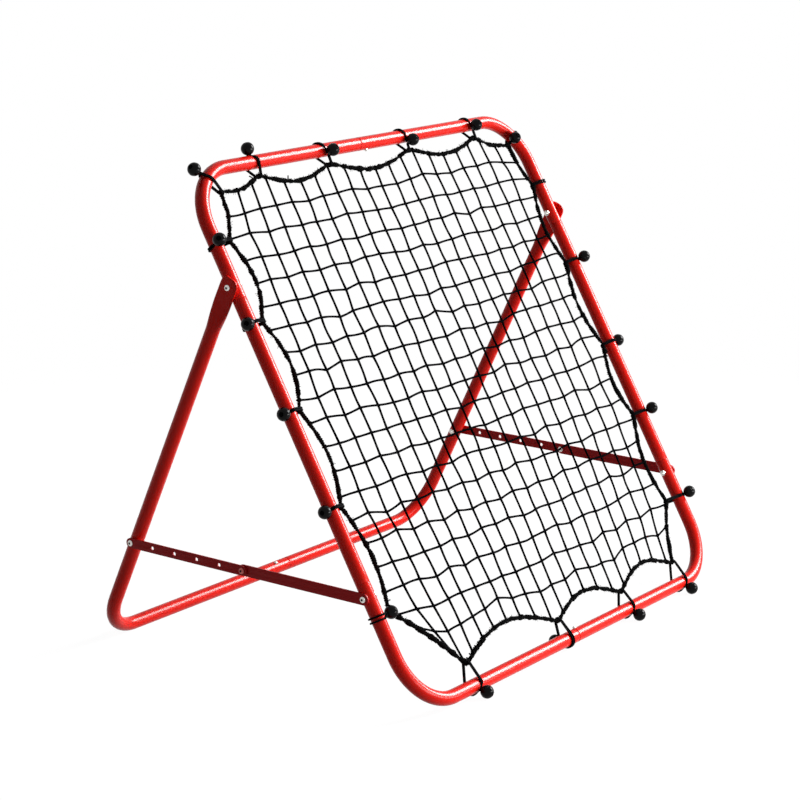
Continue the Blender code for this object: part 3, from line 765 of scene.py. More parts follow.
# Front frame
def makeFrameTube(name, run, startProfile, endProfile, holes, node):
    startWay = unit(run[0] - run[1])
    endWay = unit(run[-1] - run[-2])
    startCut = -startProfile[0][0] + frameTube["endClearance"]
    endCut = -endProfile[0][0] + frameTube["endClearance"]
    between = [p for p in run if (p - run[0]) @ -startWay > startCut and (run[-1] - p) @ endWay > endCut]
    path = [run[0] + startWay * d for d, _ in startProfile[::-1]] + between
    path += [run[-1] + endWay * d for d, _ in endProfile]
    radii = [radius for _, radius in startProfile[::-1]] + [frameTube["radius"]] * len(between)
    radii += [radius for _, radius in endProfile]
    drilledTube(name, tubeRings(path, radii), True, frameMatrix, holes, "net_frame", node)


def makeFrame():
    h = frameTube["height"]
    depth = frameTube["boltDrill"]
    highSeam, lowSeam = middle + frameTube["sideSeam"], middle - frameTube["sideSeam"]
    highBolt, lowBolt = middle + frameTube["boltFromMiddle"], middle - frameTube["boltFromMiddle"]
    rails = (
        # level, height, way to the frame's middle, side seam, bolt, rail seam, button
        ("upper", h, -1, highSeam, highBolt, frameTube["topSeam"], frameTube["topButton"]),
        ("lower", 0.0, 1, lowSeam, lowBolt, frameTube["bottomSeam"], frameTube["bottomButton"]),
    )
    for label, side in bothSides:
        x = side * frameTube["halfWidth"]
        for level, railZ, inwards, sideSeam, bolt, railSeam, button in rails:
            upright = abs(sideSeam - railZ) - frameTube["bendRadius"]
            run = bentRun(
                inPlane(railSeam, railZ),
                inPlane(x, railZ),
                inPlane(x, sideSeam),
                frameTube["bendRadius"],
                [abs(button - railSeam) + d for d in frameTube["besideHoles"]],
                [upright - (abs(bolt - sideSeam) + d) for d in frameTube["besideHoles"]],
            )
            railEnd = (spigotProfile if side < 0 else lipProfile)(frameTube["railFit"])
            sideEnd = lipProfile(frameTube["sideFit"])
            holes = [boltHole(x, bolt, depth), buttonHole(button, railZ + inwards * frameTube["radius"])]
            name = f"frame_tube_{level}_{label}"
            makeFrameTube(name, run, railEnd, sideEnd, holes, f"frame_corner_{level}_{label}")
        run = straightRun(inPlane(x, lowSeam), inPlane(x, highSeam))
        sideEnd = spigotProfile(frameTube["sideFit"])
        holes = [boltHole(x, bolt, depth) for bolt in (lowBolt, highBolt)]
        makeFrameTube(f"frame_tube_side_{label}", run, sideEnd, sideEnd, holes, f"frame_side_{label}")


makeFrame()
print("frame tubes made")


# Rear stand
def legPoint(side, below):
    run = rearLeg["length"] - rearLeg["paddleBelow"]
    offset = legStandOff * (1 - max(0.0, below - rearLeg["paddleBelow"]) / run)
    return inPlane(side * (frameTube["halfWidth"] + offset), -below)


# One section of the pressed top: wide and thin at the bolt, round again below the press
def pressedRing(side, below):
    share = smoothStep((below - rearLeg["paddleBelow"]) / rearLeg["pressLength"])
    r = frameTube["radius"]
    thick = rearLeg["paddleHalfThickness"] + (r - rearLeg["paddleHalfThickness"]) * share
    wide = rearLeg["paddleHalfWidth"] + (r - rearLeg["paddleHalfWidth"]) * share
    above = max(0.0, -below) / rearLeg["paddleAbove"]
    edge = rearLeg["topSharpness"]
    wide *= (1 - min(1.0, above) ** edge) ** (1 / edge)
    thick *= (1 - max(0.0, above - rearLeg["tipStart"]) * rearLeg["tipTaper"])
    power = 2 / (2 + (rearLeg["edgeSharpness"] - 2) * (1 - share))
    turn = roundTurns(frameTube["sides"])
    x = np.sign(np.cos(turn)) * np.abs(np.cos(turn)) ** power * thick
    y = np.sign(np.sin(turn)) * np.abs(np.sin(turn)) ** power * wide
    centre = legPoint(side, below)
    return np.stack([centre[0] + x, centre[1] + y, np.full(len(turn), centre[2])], axis=1)


def makeLegs():
    r = frameTube["radius"]
    depth = rearLeg["boltDrill"]
    press, pressSteps = rearLeg["pressLength"], rearLeg["pressSteps"]
    pressEnd = rearLeg["paddleBelow"] + press
    levels = [-rearLeg["paddleAbove"] * share for share in rearLeg["topLevels"]]
    levels += rearLeg["boltLevels"]
    levels += [rearLeg["paddleBelow"] + press * i / pressSteps for i in range(pressSteps + 1)]
    seam = inPlane(rearLeg["seam"], -rearLeg["length"])
    for label, side in bothSides:
        x = side * frameTube["halfWidth"]
        run = bentRun(
            legPoint(side, pressEnd),
            inPlane(x, -rearLeg["length"]),
            seam,
            rearLeg["bendRadius"],
            [boltDrop - pressEnd + d for d in frameTube["besideHoles"]],
        )
        profile = (spigotProfile if side > 0 else lipProfile)(frameTube["railFit"])
        way = inPlane(-side, 0.0)
        cut = -profile[0][0] + frameTube["endClearance"]
        path = [p for p in run if (seam - p) @ way > cut]
        radii = [r] * len(path) + [radius for _, radius in profile]
        path += [seam + way * d for d, _ in profile]
        rings = [pressedRing(side, level) for level in levels] + tubeRings(path, radii)[1:-1]
        holes = [boltHole(x, 0, depth), boltHole(x, -boltDrop, depth)]
        holes.append(buttonHole(rearLeg["button"], -rearLeg["length"] + r))
        name = f"stand_tube_{label}"
        drilledTube(name, rings, False, legMatrix, holes, "rear_stand", f"rear_leg_{label}")


makeLegs()
print("rear stand made")

# Strut bars
strutBar = {
    "length": 0.254,
    "thickness": 0.003,
    "frontWidth": 0.020,
    "rearWidth": 0.018,
    "endReach": 0.010,
    "endSteps": 20,
    "holePitch": 0.0508,
    "pitchHoles": 5,
    "hole": 0.0033,
    "holeSides": 28,
    "edgeRound": 0.0004,
    "edgeSteps": 2,
    "clearOfLeg": 0.0008,
    "weld": 1e-6,
}
fitGap = 0.0003
tubeRadius = frameTube["radius"]
legOffset = legPoint(1, boltDrop)[0] - frameTube["halfWidth"]
rearInner = legOffset + tubeRadius + strutBar["clearOfLeg"]
rearMiddle = rearInner + strutBar["thickness"] / 2
frontInner = tubeRadius + fitGap
frontMiddle = frontInner + strutBar["thickness"] / 2
kneeMiddle = rearMiddle - strutBar["thickness"] - fitGap
barSlant = math.atan2(kneeMiddle - frontMiddle, strutBar["length"])
barSpan = rearBarBolt - frontBarBolt
frontTurn = -math.atan2(barSpan.y, barSpan.z)
rearTurn = math.pi + frontTurn


def barPlace(place, x, turn):
    return Matrix.Translation((x, place.y, place.z)) @ Matrix.Rotation(turn, 4, "X")


def addLoop(curve, loop):
    spline = curve.splines.new("POLY")
    spline.points.add(len(loop) - 1)
    spline.use_cyclic_u = True
    for point, (x, y) in zip(spline.points, loop):
        point.co = (x, y, 0, 1)


# A flat bar stood up along +z, with its faces towards x. The map holds its place along and across.
def flatBar(name, width, holes, matrix):
    curve = bpy.data.curves.new(name, "CURVE")
    curve.dimensions = "2D"
    curve.fill_mode = "BOTH"
    curve.extrude = strutBar["thickness"] / 2 - strutBar["edgeRound"]
    curve.bevel_depth = strutBar["edgeRound"]
    curve.bevel_resolution = strutBar["edgeSteps"]
    curve.offset = -strutBar["edgeRound"]
    outline = []
    steps = strutBar["endSteps"]
    for centre, start in ((strutBar["length"], -math.pi / 2), (0.0, math.pi / 2)):
        for i in range(steps + 1):
            angle = start + math.pi * i / steps
            outline.append((centre + strutBar["endReach"] * math.cos(angle), width / 2 * math.sin(angle)))
    addLoop(curve, outline)
    r, sides = strutBar["hole"], strutBar["holeSides"]
    turns = [2 * math.pi * i / sides for i in range(sides)]
    for place in holes:
        addLoop(curve, [(place + r * math.cos(turn), r * math.sin(turn)) for turn in turns])
    obj = newObject(name, curve)
    bpy.context.view_layer.update()
    mesh = bpy.data.meshes.new_from_object(obj.evaluated_get(bpy.context.evaluated_depsgraph_get()))
    bpy.data.objects.remove(obj)
    work = bmesh.new()
    work.from_mesh(mesh)
    bmesh.ops.remove_doubles(work, verts=work.verts, dist=strutBar["weld"])
    bmesh.ops.recalc_face_normals(work, faces=work.faces)
    layer = work.loops.layers.uv.new("fibre")
    for face in work.faces:
        for corner in face.loops:
            corner[layer].uv = (corner.vert.co.y / width + 0.5, corner.vert.co.x)
    work.to_mesh(mesh)
    work.free()
    mesh.transform(matrix @ Matrix.Rotation(-math.pi / 2, 4, "Y"))
    mesh.materials.clear()
    # The bars take the darker red that holds painted shade
    mesh.materials.append(barRedPaintedShade)
    shadeSmooth(mesh, 50)
    return newObject(name, mesh)


frontPlaces = {}
rearPlaces = {}
for label, side in bothSides:
    frontX = side * (frameTube["halfWidth"] + frontMiddle)
    rearX = side * (frameTube["halfWidth"] + rearMiddle)
    frontPlaces[label] = barPlace(frontBarBolt, frontX, frontTurn)
    rearPlaces[label] = barPlace(rearBarBolt, rearX, rearTurn)
    slanted = frontPlaces[label] @ Matrix.Rotation(side * barSlant, 4, "Y")
    bar = flatBar(f"front_bar_{label}", strutBar["frontWidth"], (0.0, strutBar["length"]), slanted)
    finishPiece(bar, f"front_bar_{label}", f"front_strut_{label}")
    holes = [strutBar["holePitch"] * i for i in range(strutBar["pitchHoles"])] + [strutBar["length"]]
    bar = flatBar(f"rear_bar_{label}", strutBar["rearWidth"], holes, rearPlaces[label])
    finishPiece(bar, f"rear_bar_{label}", f"rear_strut_{label}")
print("strut bars made")


# Bolts, nuts and buttons
fastener = {
    "sides": 48,
    "shank": 0.0030,
    "shankChamfer": 0.0004,
    "headRadius": 0.0055,
    "headHeight": 0.0033,
    "headRim": 0.0005,
    "headAngles": (66, 54, 42, 30, 18, 8),
    "socketFlat": 0.0021,
    "socketDepth": 0.0024,
    "threadLength": 0.008,
    "threadPitch": 0.0008,
    "threadDepth": 0.00028,
    "nutFlat": 0.0050,
    "nutHeight": 0.0050,
    "collarRadius": 0.0042,
    "collarHeight": 0.0014,
    "nutInThread": 0.0002,
    "pastNut": 0.0015,
    "kneeBoltEnd": 1.5,
    "buttonRadius": 0.0030,
    "buttonProud": 0.0035,
    "buttonDome": 0.7,
    "buttonAngles": (15, 30, 45, 60, 74, 86),
    "flange": (0.0045, 0.0075, 0.0085),
}


# The rings of a turned piece, from (radius, height) and a hexagon's flat where one cuts the circle
def turnedRings(profile, sides):
    turn = roundTurns(sides)
    toFlat = np.cos((turn % (math.pi / 3)) - math.pi / 6)
    rings = []
    for radius, height, *flat in profile:
        reach = np.minimum(radius, flat[0] / toFlat) if flat else np.full(sides, radius)
        rings.append(np.stack([reach * np.cos(turn), reach * np.sin(turn), np.full(sides, height)], axis=1))
    return rings


def turnedPiece(name, profile, matrix, body, node, material=None, joined=False):
    points, faces = skinRings(turnedRings(profile, fastener["sides"]), joined)
    obj = meshPiece(name, points, faces, matrix, material or zincPlate, sharp=28)
    return finishPiece(obj, body, node)


# The matrix with its +z turned out to the side, and a random turn about that
def facing(matrix, side):
    return matrix @ (
        Matrix.Rotation(side * math.pi / 2, 4, "Y") @ Matrix.Rotation(dice.uniform(0, math.pi), 4, "Z")
    )


# The thread is a stack of ridges
def threadProfile(top, bottom):
    r = fastener["shank"]
    count = max(1, int((top - bottom) / fastener["threadPitch"]))
    pitch = (top - bottom) / count
    rings = []
    for i in range(count):
        rings.append((r, top - pitch * i))
        rings.append((r - fastener["threadDepth"], top - pitch * (i + 0.5)))
    return rings + [(r - fastener["shankChamfer"], bottom)]


# The head's top is at its height and its underside at 0. The tenths of a millimetre break its edges.
def boltProfile(length):
    r, h, rim = fastener["headRadius"], fastener["headHeight"], fastener["headRim"]
    flat = fastener["socketFlat"]
    socket = flat / math.cos(math.pi / 6)
    floor = h - fastener["socketDepth"]
    rings = [(0.0002, floor - 0.0004), (flat * 0.8, floor), (socket, floor + 0.0001, flat)]
    rings += [(socket, h - 0.0002, flat), (socket + 0.0002, h, flat + 0.0002), (flat + 0.0009, h)]
    for angle in fastener["headAngles"]:
        turn = math.radians(angle)
        rings.append((r * math.cos(turn), rim + (h - rim) * math.sin(turn)))
    rings += [(r, rim), (r, 0.0001), (r - 0.0001, 0.0), (fastener["shank"], 0.0)]
    threaded = min(fastener["threadLength"], length * 0.5)
    return rings + threadProfile(-length + threaded, -length)


# The profile's first four rings, and the face inside the first, are the socket, which takes near-black
# painted shade
def makeBolt(name, matrix, side, length, body, node, material=None):
    profile = boltProfile(length)
    obj = turnedPiece(name, profile, facing(matrix, side), body, node, material)
    obj.data.materials.append(socketPaintedShade)
    sides = fastener["sides"]
    for index in [*range(3 * sides), (len(profile) - 1) * sides]:
        obj.data.polygons[index].material_index = 1


# A lock nut with its collar towards +z, and the bolt's hole or a solid end
def nutProfile(hole):
    flat, h = fastener["nutFlat"], fastener["nutHeight"]
    corner = flat / math.cos(math.pi / 6)
    low, high = -h / 2, h / 2
    shelf = high - fastener["collarHeight"]
    collar = fastener["collarRadius"]
    return [
        (flat - 0.0001, low, flat),
        (flat + 0.0003, low + 0.0002, flat),
        (corner, low + 0.0006, flat),
        (corner, shelf - 0.0007, flat),
        (flat + 0.0003, shelf - 0.0002, flat),
        (flat - 0.0002, shelf, flat),
        (collar + 0.0001, shelf + 0.0001),
        (collar, high - 0.0005),
        (collar - 0.0002, high - 0.0001),
        (collar - 0.0006, high),
        (hole, high - 0.0001),
        (hole, low),
    ]


def makeNut(name, matrix, side, body, node):
    profile = nutProfile(frameTube["boltHole"] - fastener["nutInThread"])
    turnedPiece(name, profile, facing(matrix, -side), body, node, joined=True)


# The knee's nut has its bolt end in it, because the knee's pivot opens as the stand folds
def makeKneeNut(name, matrix, side, depth, body, node):
    shank, half = fastener["shank"], fastener["nutHeight"] / 2
    end = half + fastener["pastNut"]
    chamfer = fastener["shankChamfer"]
    rings = [(shank, -half - depth), (shank, -half)] + nutProfile(shank)[:-1]
    rings += [(shank, end - chamfer), (shank - chamfer, end)]
    turnedPiece(name, rings, matrix @ Matrix.Rotation(-side * math.pi / 2, 4, "Y"), body, node)


def makeFasteners():
    w = frameTube["halfWidth"]
    bolt = frameTube["boltFromMiddle"]
    thick = strutBar["thickness"]
    nutGap = fitGap + fastener["nutHeight"] / 2
    beyond = fastener["nutHeight"] / 2 + fastener["pastNut"]
    legHead = w + legStandOff + rearLeg["paddleHalfThickness"] + fitGap
    frontHead = w + frontInner + thick + fitGap
    rearHead = w + rearInner + thick + fitGap
    frameNut = w - tubeRadius - nutGap
    rearNut = w + legOffset - tubeRadius - nutGap
    bolted = (
        # piece, node, space, level, head's place, nut's place, body
        ("leg", "leg", frameMatrix, middle + bolt, legHead, frameNut, "net_frame"),
        ("front_strut", "front_strut", frameMatrix, middle - bolt, frontHead, frameNut, "net_frame"),
        ("rear_bar", "rear_strut", legMatrix, -boltDrop, rearHead, rearNut, "rear_stand"),
    )
    for label, side in bothSides:
        for piece, node, space, level, head, nut, body in bolted:
            name = f"{piece}_bolt_head_{label}"
            place = space @ Matrix.Translation((side * head, 0, level))
            makeBolt(name, place, side, head - nut + beyond, body, f"{node}_bolt_{label}")
            place = space @ Matrix.Translation((side * nut, 0, level))
            makeNut(f"{piece}_lock_nut_{label}", place, side, body, f"{node}_nut_{label}")

        headX = side * (thick / 2 + fitGap)
        place = rearPlaces[label] @ Matrix.Translation((headX, 0, strutBar["length"]))
        length = thick + fitGap * fastener["kneeBoltEnd"]
        name, carrier = f"knee_bolt_head_{label}", f"rear_bar_{label}"
        makeBolt(name, place, side, length, carrier, f"knee_bolt_{label}", paintedZinc)
        nutX = side * (kneeMiddle - frontMiddle - thick / 2 - nutGap)
        place = frontPlaces[label] @ Matrix.Translation((nutX, 0, strutBar["length"]))
        name, carrier = f"knee_lock_nut_{label}", f"front_bar_{label}"
        makeKneeNut(name, place, side, thick + fitGap, carrier, f"knee_nut_{label}")


def makeButton(name, matrix, body, node):
    r = fastener["buttonRadius"]
    dome = r * fastener["buttonDome"]
    shoulder = tubeRadius + fastener["buttonProud"] - dome
    flange, low, high = fastener["flange"]
    rings = [(flange, low), (flange, high), (r, high), (r, shoulder)]
    for angle in fastener["buttonAngles"]:
        turn = math.radians(angle)
        rings.append((r * math.cos(turn), shoulder + dome * math.sin(turn)))
    turnedPiece(name, rings, matrix, body, node)


leafSpring = {
    "thickness": 0.0008,
    "behindButton": 0.0040,
    "flat": 0.0060,
    "foldStart": 0.0360,
    "foldLength": 0.0040,
    "foldShare": 0.18,
    "foldSteps": 14,
    "slack": 0.0001,
}


# The folded leaf behind a snap button, in its solid's space. It flattens as the button goes in.
def makeLeafSpring(name, matrix, body, node):
    solid = np.array([(*vertex.co, 1.0) for vertex in frame["nodes"][node].data.vertices])
    local = (solid @ np.array(matrix.inverted()).T)[:, :3]
    low, high = local.min(axis=0), local.max(axis=0)
    way = 1 if high[0] > -low[0] else -1
    half = leafSpring["thickness"] / 2
    under, bottom = high[2] - half, low[2] + half
    fold = (under - bottom) * leafSpring["foldShare"]
    start, reach = -leafSpring["behindButton"], leafSpring["foldLength"]
    route = [(start, under), (leafSpring["flat"], under)]
    for angle in np.linspace(0, math.pi, leafSpring["foldSteps"]):
        x = leafSpring["foldStart"] + reach * math.sin(angle)
        route.append((x, bottom + fold + fold * math.cos(angle)))
    route = np.array([*route, (start, bottom)])
    wide = np.array([0.0, (high[1] - low[1]) / 2, 0.0])
    rings = []
    for (x, z), (stepX, stepZ) in zip(route, unitRows(np.gradient(route, axis=0))):
        place = inPlane(way * x, z)
        lift = inPlane(-way * stepZ, stepX) * half
        corners = (place + lift + wide, place + lift - wide, place - lift - wide, place - lift + wide)
        rings.append(np.array(corners))
    obj = meshPiece(name, *skinRings(rings), matrix, blueSteel)
    finishPiece(obj, body, node)
    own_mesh(obj)


makeFasteners()
flip = Matrix.Rotation(math.pi, 4, "X")
topPlace = frameMatrix @ Matrix.Translation((frameTube["topButton"], 0, frameTube["height"])) @ flip
bottomPlace = frameMatrix @ Matrix.Translation((frameTube["bottomButton"], 0, 0))
crossbarPlace = legMatrix @ Matrix.Translation((rearLeg["button"], 0, -rearLeg["length"]))
buttons = (
    # name, place, its own body, node, the tube's body
    ("top", topPlace, "top_button", "top_rail_button", "net_frame"),
    ("bottom", bottomPlace, "bottom_button", "bottom_rail_button", "net_frame"),
    ("crossbar", crossbarPlace, "crossbar_lock", "crossbar_button", "rear_stand"),
)
for name, place, body, node, _ in buttons:
    makeButton(f"{name}_snap_button", place, body, node)
for name, place, _, node, body in buttons:
    makeLeafSpring(f"{name}_leaf_spring", place, body, f"{node}_spring")
print("bolts, nuts and buttons made")


# The ties, clockwise from the top left corner seen from the front. The share runs along a side's
# half length from its middle, or it is the angle round a bend. Inset is the rope's distance in
# from the tube's axis, angle is where the ball sits round the tube from straight out, pull is how
# far it is drawn along the tube, sag is the rope's way in to the next tie, meshes is how many net
# meshes lie on that way, and spread is how far apart the cord's two passes cross the tube.
tieLabels = ("name", "where", "share", "inset", "angle", "pull", "sag", "meshes", "spread")
tieTable = [
    ("top_left", "topLeftBend", 120.7, 0.0325, 17, 0.021, 0.010, 2.65, 0.010),
    ("top_1", "top", -0.638, 0.0240, 17, -0.007, 0.022, 4.55, 0.009),
    ("top_2", "top", -0.230, 0.0260, 112, -0.003, 0.024, 5.60, 0.015),
    ("top_3", "top", 0.267, 0.0260, 128, -0.002, 0.022, 4.90, 0.014),
    ("top_4", "top", 0.706, 0.0260, 112, -0.007, 0.008, 2.30, 0.012),
    ("top_right", "topRightBend", 39.1, 0.0271, 134, 0.0, 0.006, 2.45, 0.006),
    ("right_1", "right", 0.700, 0.0195, -40, 0.0, 0.022, 4.10, 0.003),
    ("right_2", "right", 0.356, 0.0245, 56, 0.0, 0.024, 3.95, 0.003),
    ("right_3", "right", -0.009, 0.0220, 15, 0.0, 0.022, 3.35, 0.003),
    ("right_4", "right", -0.317, 0.0260, 56, 0.0, 0.024, 4.05, 0.003),
    ("right_5", "right", -0.686, 0.0445, 56, 0.0, 0.008, 2.65, 0.003),
    ("bottom_4", "bottom", 0.769, 0.0400, "floorFront", 0.0, 0.030, 4.90, 0.012),
    ("bottom_3", "bottom", 0.367, 0.0330, "floorFront", 0.0, 0.031, 5.15, 0.012),
    ("bottom_2", "bottom", -0.076, 0.0360, "floorRear", 0.0, 0.038, 7.10, 0.010),
    ("bottom_1", "bottom", -0.663, 0.0400, "floorFront", 0.0, 0.005, 4.60, 0.012),
    ("left_5", "left", -0.646, 0.0330, 160, -0.003, 0.020, 4.35, 0.003),
    ("left_4", "left", -0.257, 0.0265, 15, 0.0, 0.023, 3.95, 0.003),
    ("left_3", "left", 0.102, 0.0275, 20, 0.0, 0.026, 3.80, 0.003),
    ("left_2", "left", 0.432, 0.0300, 32, 0.0, 0.025, 3.55, 0.003),
    ("left_1", "left", 0.737, 0.0355, 62, 0.0, 0.008, 2.05, 0.006),
]
ties = [dict(zip(tieLabels, row)) for row in tieTable]
netSizes = {
    "meshes": 20,
    "twine": 0.0020,
    "twineSides": 8,
    "twineSteps": 8,
    "twineShape": (1.12, 0.16),
    "knot": (0.0027, 0.0022, 0.0025),
    "knotLumps": 0.06,
    "knotTilt": 0.5,
    "acrossJitter": 0.0008,
    "upJitter": 0.0019,
    "upStep": (0.0010, 0.0022),
    "slip": {"bottom_1": 1.35},
    "depthJitter": 0.0006,
    "bow": 0.0007,
    "relaxing": 900,
}
# A bunch is (from, to, strands) along the border; a loose end is (place, across, up)
rope = {
    "radius": 0.0023,
    "core": 0.85,
    "sides": 8,
    "step": 0.0022,
    "slopeStep": 0.01,
    "strands": 3,
    "strand": 0.00145,
    "strandOut": 0.1,
    "strandSides": 7,
    "strandStep": 0.0009,
    "lay": 0.0125,
    "layScatter": 0.08,
    "lumps": 0.14,
    "lumpLength": 0.0075,
    "lumpShare": 0.17,
    "wander": 0.00045,
    "edgeTwine": 0.0013,
    "twineSides": 6,
    "bunches": [(13.74, 14.0, 2), (14.0, 14.98, 2)],
    "bunchSteps": 90,
    "bunchLay": 26,
    "bunchOut": 0.0019,
    "bunchScatter": 0.0002,
    "hairs": 1500,
    "hair": 0.00036,
    "hairReach": (0.0052, 0.0072),
    "hairSlant": 0.6,
    "hairBow": 0.0006,
    "hairSteps": 4,
    "hairSides": 4,
    "hitchRadius": 0.0011,
    "hitchOut": (0.8, 0.0003),
    "hitchSteps": 34,
    "hitchTurns": 1.3,
    "hitchPitch": 0.0034,
    "hitchLumps": 0.05,
    "looseEnds": [
        (15.05, 0.013, -0.006),
        (15.09, 0.010, -0.001),
        (0.86, -0.010, 0.007),
        (1.35, 0.004, 0.009),
    ],
    "looseSteps": 8,
    "looseThin": 0.9,
    "looseScatter": 0.001,
    "looseBow": 0.0008,
    "looseLumps": 0.08,
}
bungee = {
    "cord": 0.0017,
    "cordSides": 10,
    "cordStep": 0.0014,
    "cordSoftening": 3,
    "pair": 0.0016,
    "ownPair": {"left_5": 0.0036, "bottom_2": 0.0026, "right_1": 0.0022, "top_right": 0.0022},
    "pairAtBall": (0.55, 0.45),
    "beside": 1.05,
    "beltSteps": 44,
    "ropeSteps": 20,
    "ropeSlack": 0.0008,
    "pastRope": 0.0072,
    "fadeLength": 0.028,
    "turnLength": 0.009,
    "ball": 0.0117,
    "ballSides": 40,
    "ballSteps": 24,
    "ballFromAxis": 0.0245,
    "ownDistance": {"left_5": 0.0280, "top_left": 0.0330},
    "mouldLine": 0.00014,
    "mouldShare": (1.5, 3),
    "axisHole": 0.0004,
    "mouth": 0.0044,
    "mouthDepth": 0.0030,
    "mouthStrands": 0.95,
    "lip": 0.0012,
    "recess": 0.0042,
    "recessDepth": 0.0030,
    "knotDepth": 0.0033,
    "knotCord": 0.0019,
    "knotRadius": 0.0016,
    "knotTurns": 1.3,
    "knotSteps": 30,
    "knotLift": (0.0009, 0.0002),
}


# A tie's place on the tube's axis, the way straight out of the frame, and the way along the tube
def tieAxes(where, share):
    w, h, bend = frameTube["halfWidth"], frameTube["height"], frameTube["bendRadius"]
    if where.endswith("Bend"):
        centre = inPlane((w - bend) if where == "topRightBend" else bend - w, h - bend)
        angle = math.radians(share)
        out = inPlane(math.cos(angle), math.sin(angle))
        return centre + out * bend, out, inPlane(-out[2], out[0])
    side = -1 if where in ("left", "bottom") else 1
    acrossWay, upWay = inPlane(1.0, 0.0), inPlane(0.0, 1.0)
    if where in ("left", "right"):
        return inPlane(side * w, middle * (1 + share)), side * acrossWay, upWay
    return inPlane(w * share, h if side > 0 else 0.0), side * upWay, acrossWay


tieKnots = []
for tie in ties:
    point, out, along = tieAxes(tie["where"], tie["share"])
    tieKnots.append(point - out * tie["inset"])


# A place on the border rope: the whole number is the tie, the rest is the way to the next one
def borderPoint(position):
    index = int(position) % len(tieKnots)
    share = position - int(position)
    start = tieKnots[index]
    chord = tieKnots[(index + 1) % len(tieKnots)] - start
    inwards = inPlane(chord[2], -chord[0]) / np.linalg.norm(chord)
    return start + chord * share + inwards * ties[index]["sag"] * math.sin(math.pi * share)


# The place together with the rope's direction there
def borderPlace(position):
    near = rope["slopeStep"]
    step = borderPoint(position + near) - borderPoint(position - near + len(ties))
    return borderPoint(position), unit(step)


# Where on the rope the net's edge knot of this number is, counted clockwise from the top left
def meshPosition(count):
    passed = 0.0
    for index, tie in enumerate(ties):
        if count <= passed + tie["meshes"]:
            return index + ((count - passed) / tie["meshes"]) ** netSizes["slip"].get(tie["name"], 1.0)
        passed += tie["meshes"]
    return 0.0


# Fibres are round strands swept along their paths, with a map for the braid, gathered in bundles
def newBundle():
    return {"points": [], "faces": [], "uvs": [], "count": 0}


# One radius, or one for each point of the path. Flat is the way in which the rings' first side looks.
def addFibre(bundle, path, radii, sides, closed=False, lumps=0.0, flat=rearward):
    path = np.asarray(path, float)
    count = len(path)
    if closed:
        tangents = unitRows(np.roll(path, -1, axis=0) - np.roll(path, 1, axis=0))
    else:
        tangents = unitRows(np.gradient(path, axis=0))
    radii = np.full(count, radii) if np.isscalar(radii) else radii
    normal = flat
    if abs(tangents[0] @ normal) > 0.9:
        normal = inPlane(1.0, 0.0)
    turn = roundTurns(sides)
    distance = 0.0
    base = bundle["count"]
    marks = []
    for i in range(count):
        normal = unit(normal - tangents[i] * (normal @ tangents[i]))
        side = np.cross(tangents[i], normal)
        reach = radii[i]
        if lumps:
            reach = reach * (1 + lumps * np.array([dice.gauss(0, 1) for _ in range(sides)]))
        ring = path[i] + (np.cos(turn) * reach)[:, None] * normal + (np.sin(turn) * reach)[:, None] * side
        bundle["points"].append(ring)
        marks.append(distance)
        if i + 1 < count:
            distance += float(np.linalg.norm(path[i + 1] - path[i]))
    marks.append(distance + float(np.linalg.norm(path[0] - path[-1])))
    for i in range(count if closed else count - 1):
        a = base + i * sides
        b = base + (i + 1) % count * sides
        for k in range(sides):
            n = (k + 1) % sides
            bundle["faces"].append((a + k, a + n, b + n, b + k))
            u, v = k / sides, (k + 1) / sides
            bundle["uvs"] += [(u, marks[i]), (v, marks[i]), (v, marks[i + 1]), (u, marks[i + 1])]
    if not closed:
        for start, order in ((base, -1), (base + (count - 1) * sides, 1)):
            bundle["faces"].append(tuple(range(start, start + sides))[::order])
            bundle["uvs"] += [(0.5, 0.0)] * sides
    bundle["count"] += count * sides


# A lumpy round knot. Each ring is one millimetre further on the map.
def addBlob(bundle, centre, sizes, turnMatrix, rings=6, sides=8):
    base = bundle["count"]
    points = [(0.0, 0.0, 1.0)]
    for i in range(1, rings):
        angle = math.pi * i / rings
        for k in range(sides):
            turn = 2 * math.pi * k / sides
            reach = math.sin(angle)
            points.append((reach * math.cos(turn), reach * math.sin(turn), math.cos(angle)))
    points.append((0.0, 0.0, -1.0))
    swell = np.array([1 + netSizes["knotLumps"] * dice.gauss(0, 1) for _ in points])[:, None]
    points = np.array(points) * swell * np.array(sizes)
    bundle["points"].append(points @ np.array(turnMatrix).T + centre)
    last = base + 1 + (rings - 1) * sides
    for k in range(sides):
        n = (k + 1) % sides
        u, v = k / sides, (k + 1) / sides
        bundle["faces"].append((base, base + 1 + k, base + 1 + n))
        bundle["uvs"] += [(u, 0.0), (u, 0.001), (v, 0.001)]
        for i in range(rings - 2):
            a = base + 1 + i * sides
            b = a + sides
            low, high = 0.001 * (i + 1), 0.001 * (i + 2)
            bundle["faces"].append((a + k, b + k, b + n, a + n))
            bundle["uvs"] += [(u, low), (u, high), (v, high), (v, low)]
        a = last - sides
        bundle["faces"].append((a + n, a + k, last))
        bundle["uvs"] += [(v, 0.001 * rings), (u, 0.001 * rings), (u, 0.0)]
    bundle["count"] += len(points)


def bundlePiece(name, bundle, material, node):
    points = np.concatenate(bundle["points"])
    obj = meshPiece(name, points, bundle["faces"], frameMatrix, material, bundle["uvs"], sharp=75)
    finishPiece(obj, "net_frame", node)


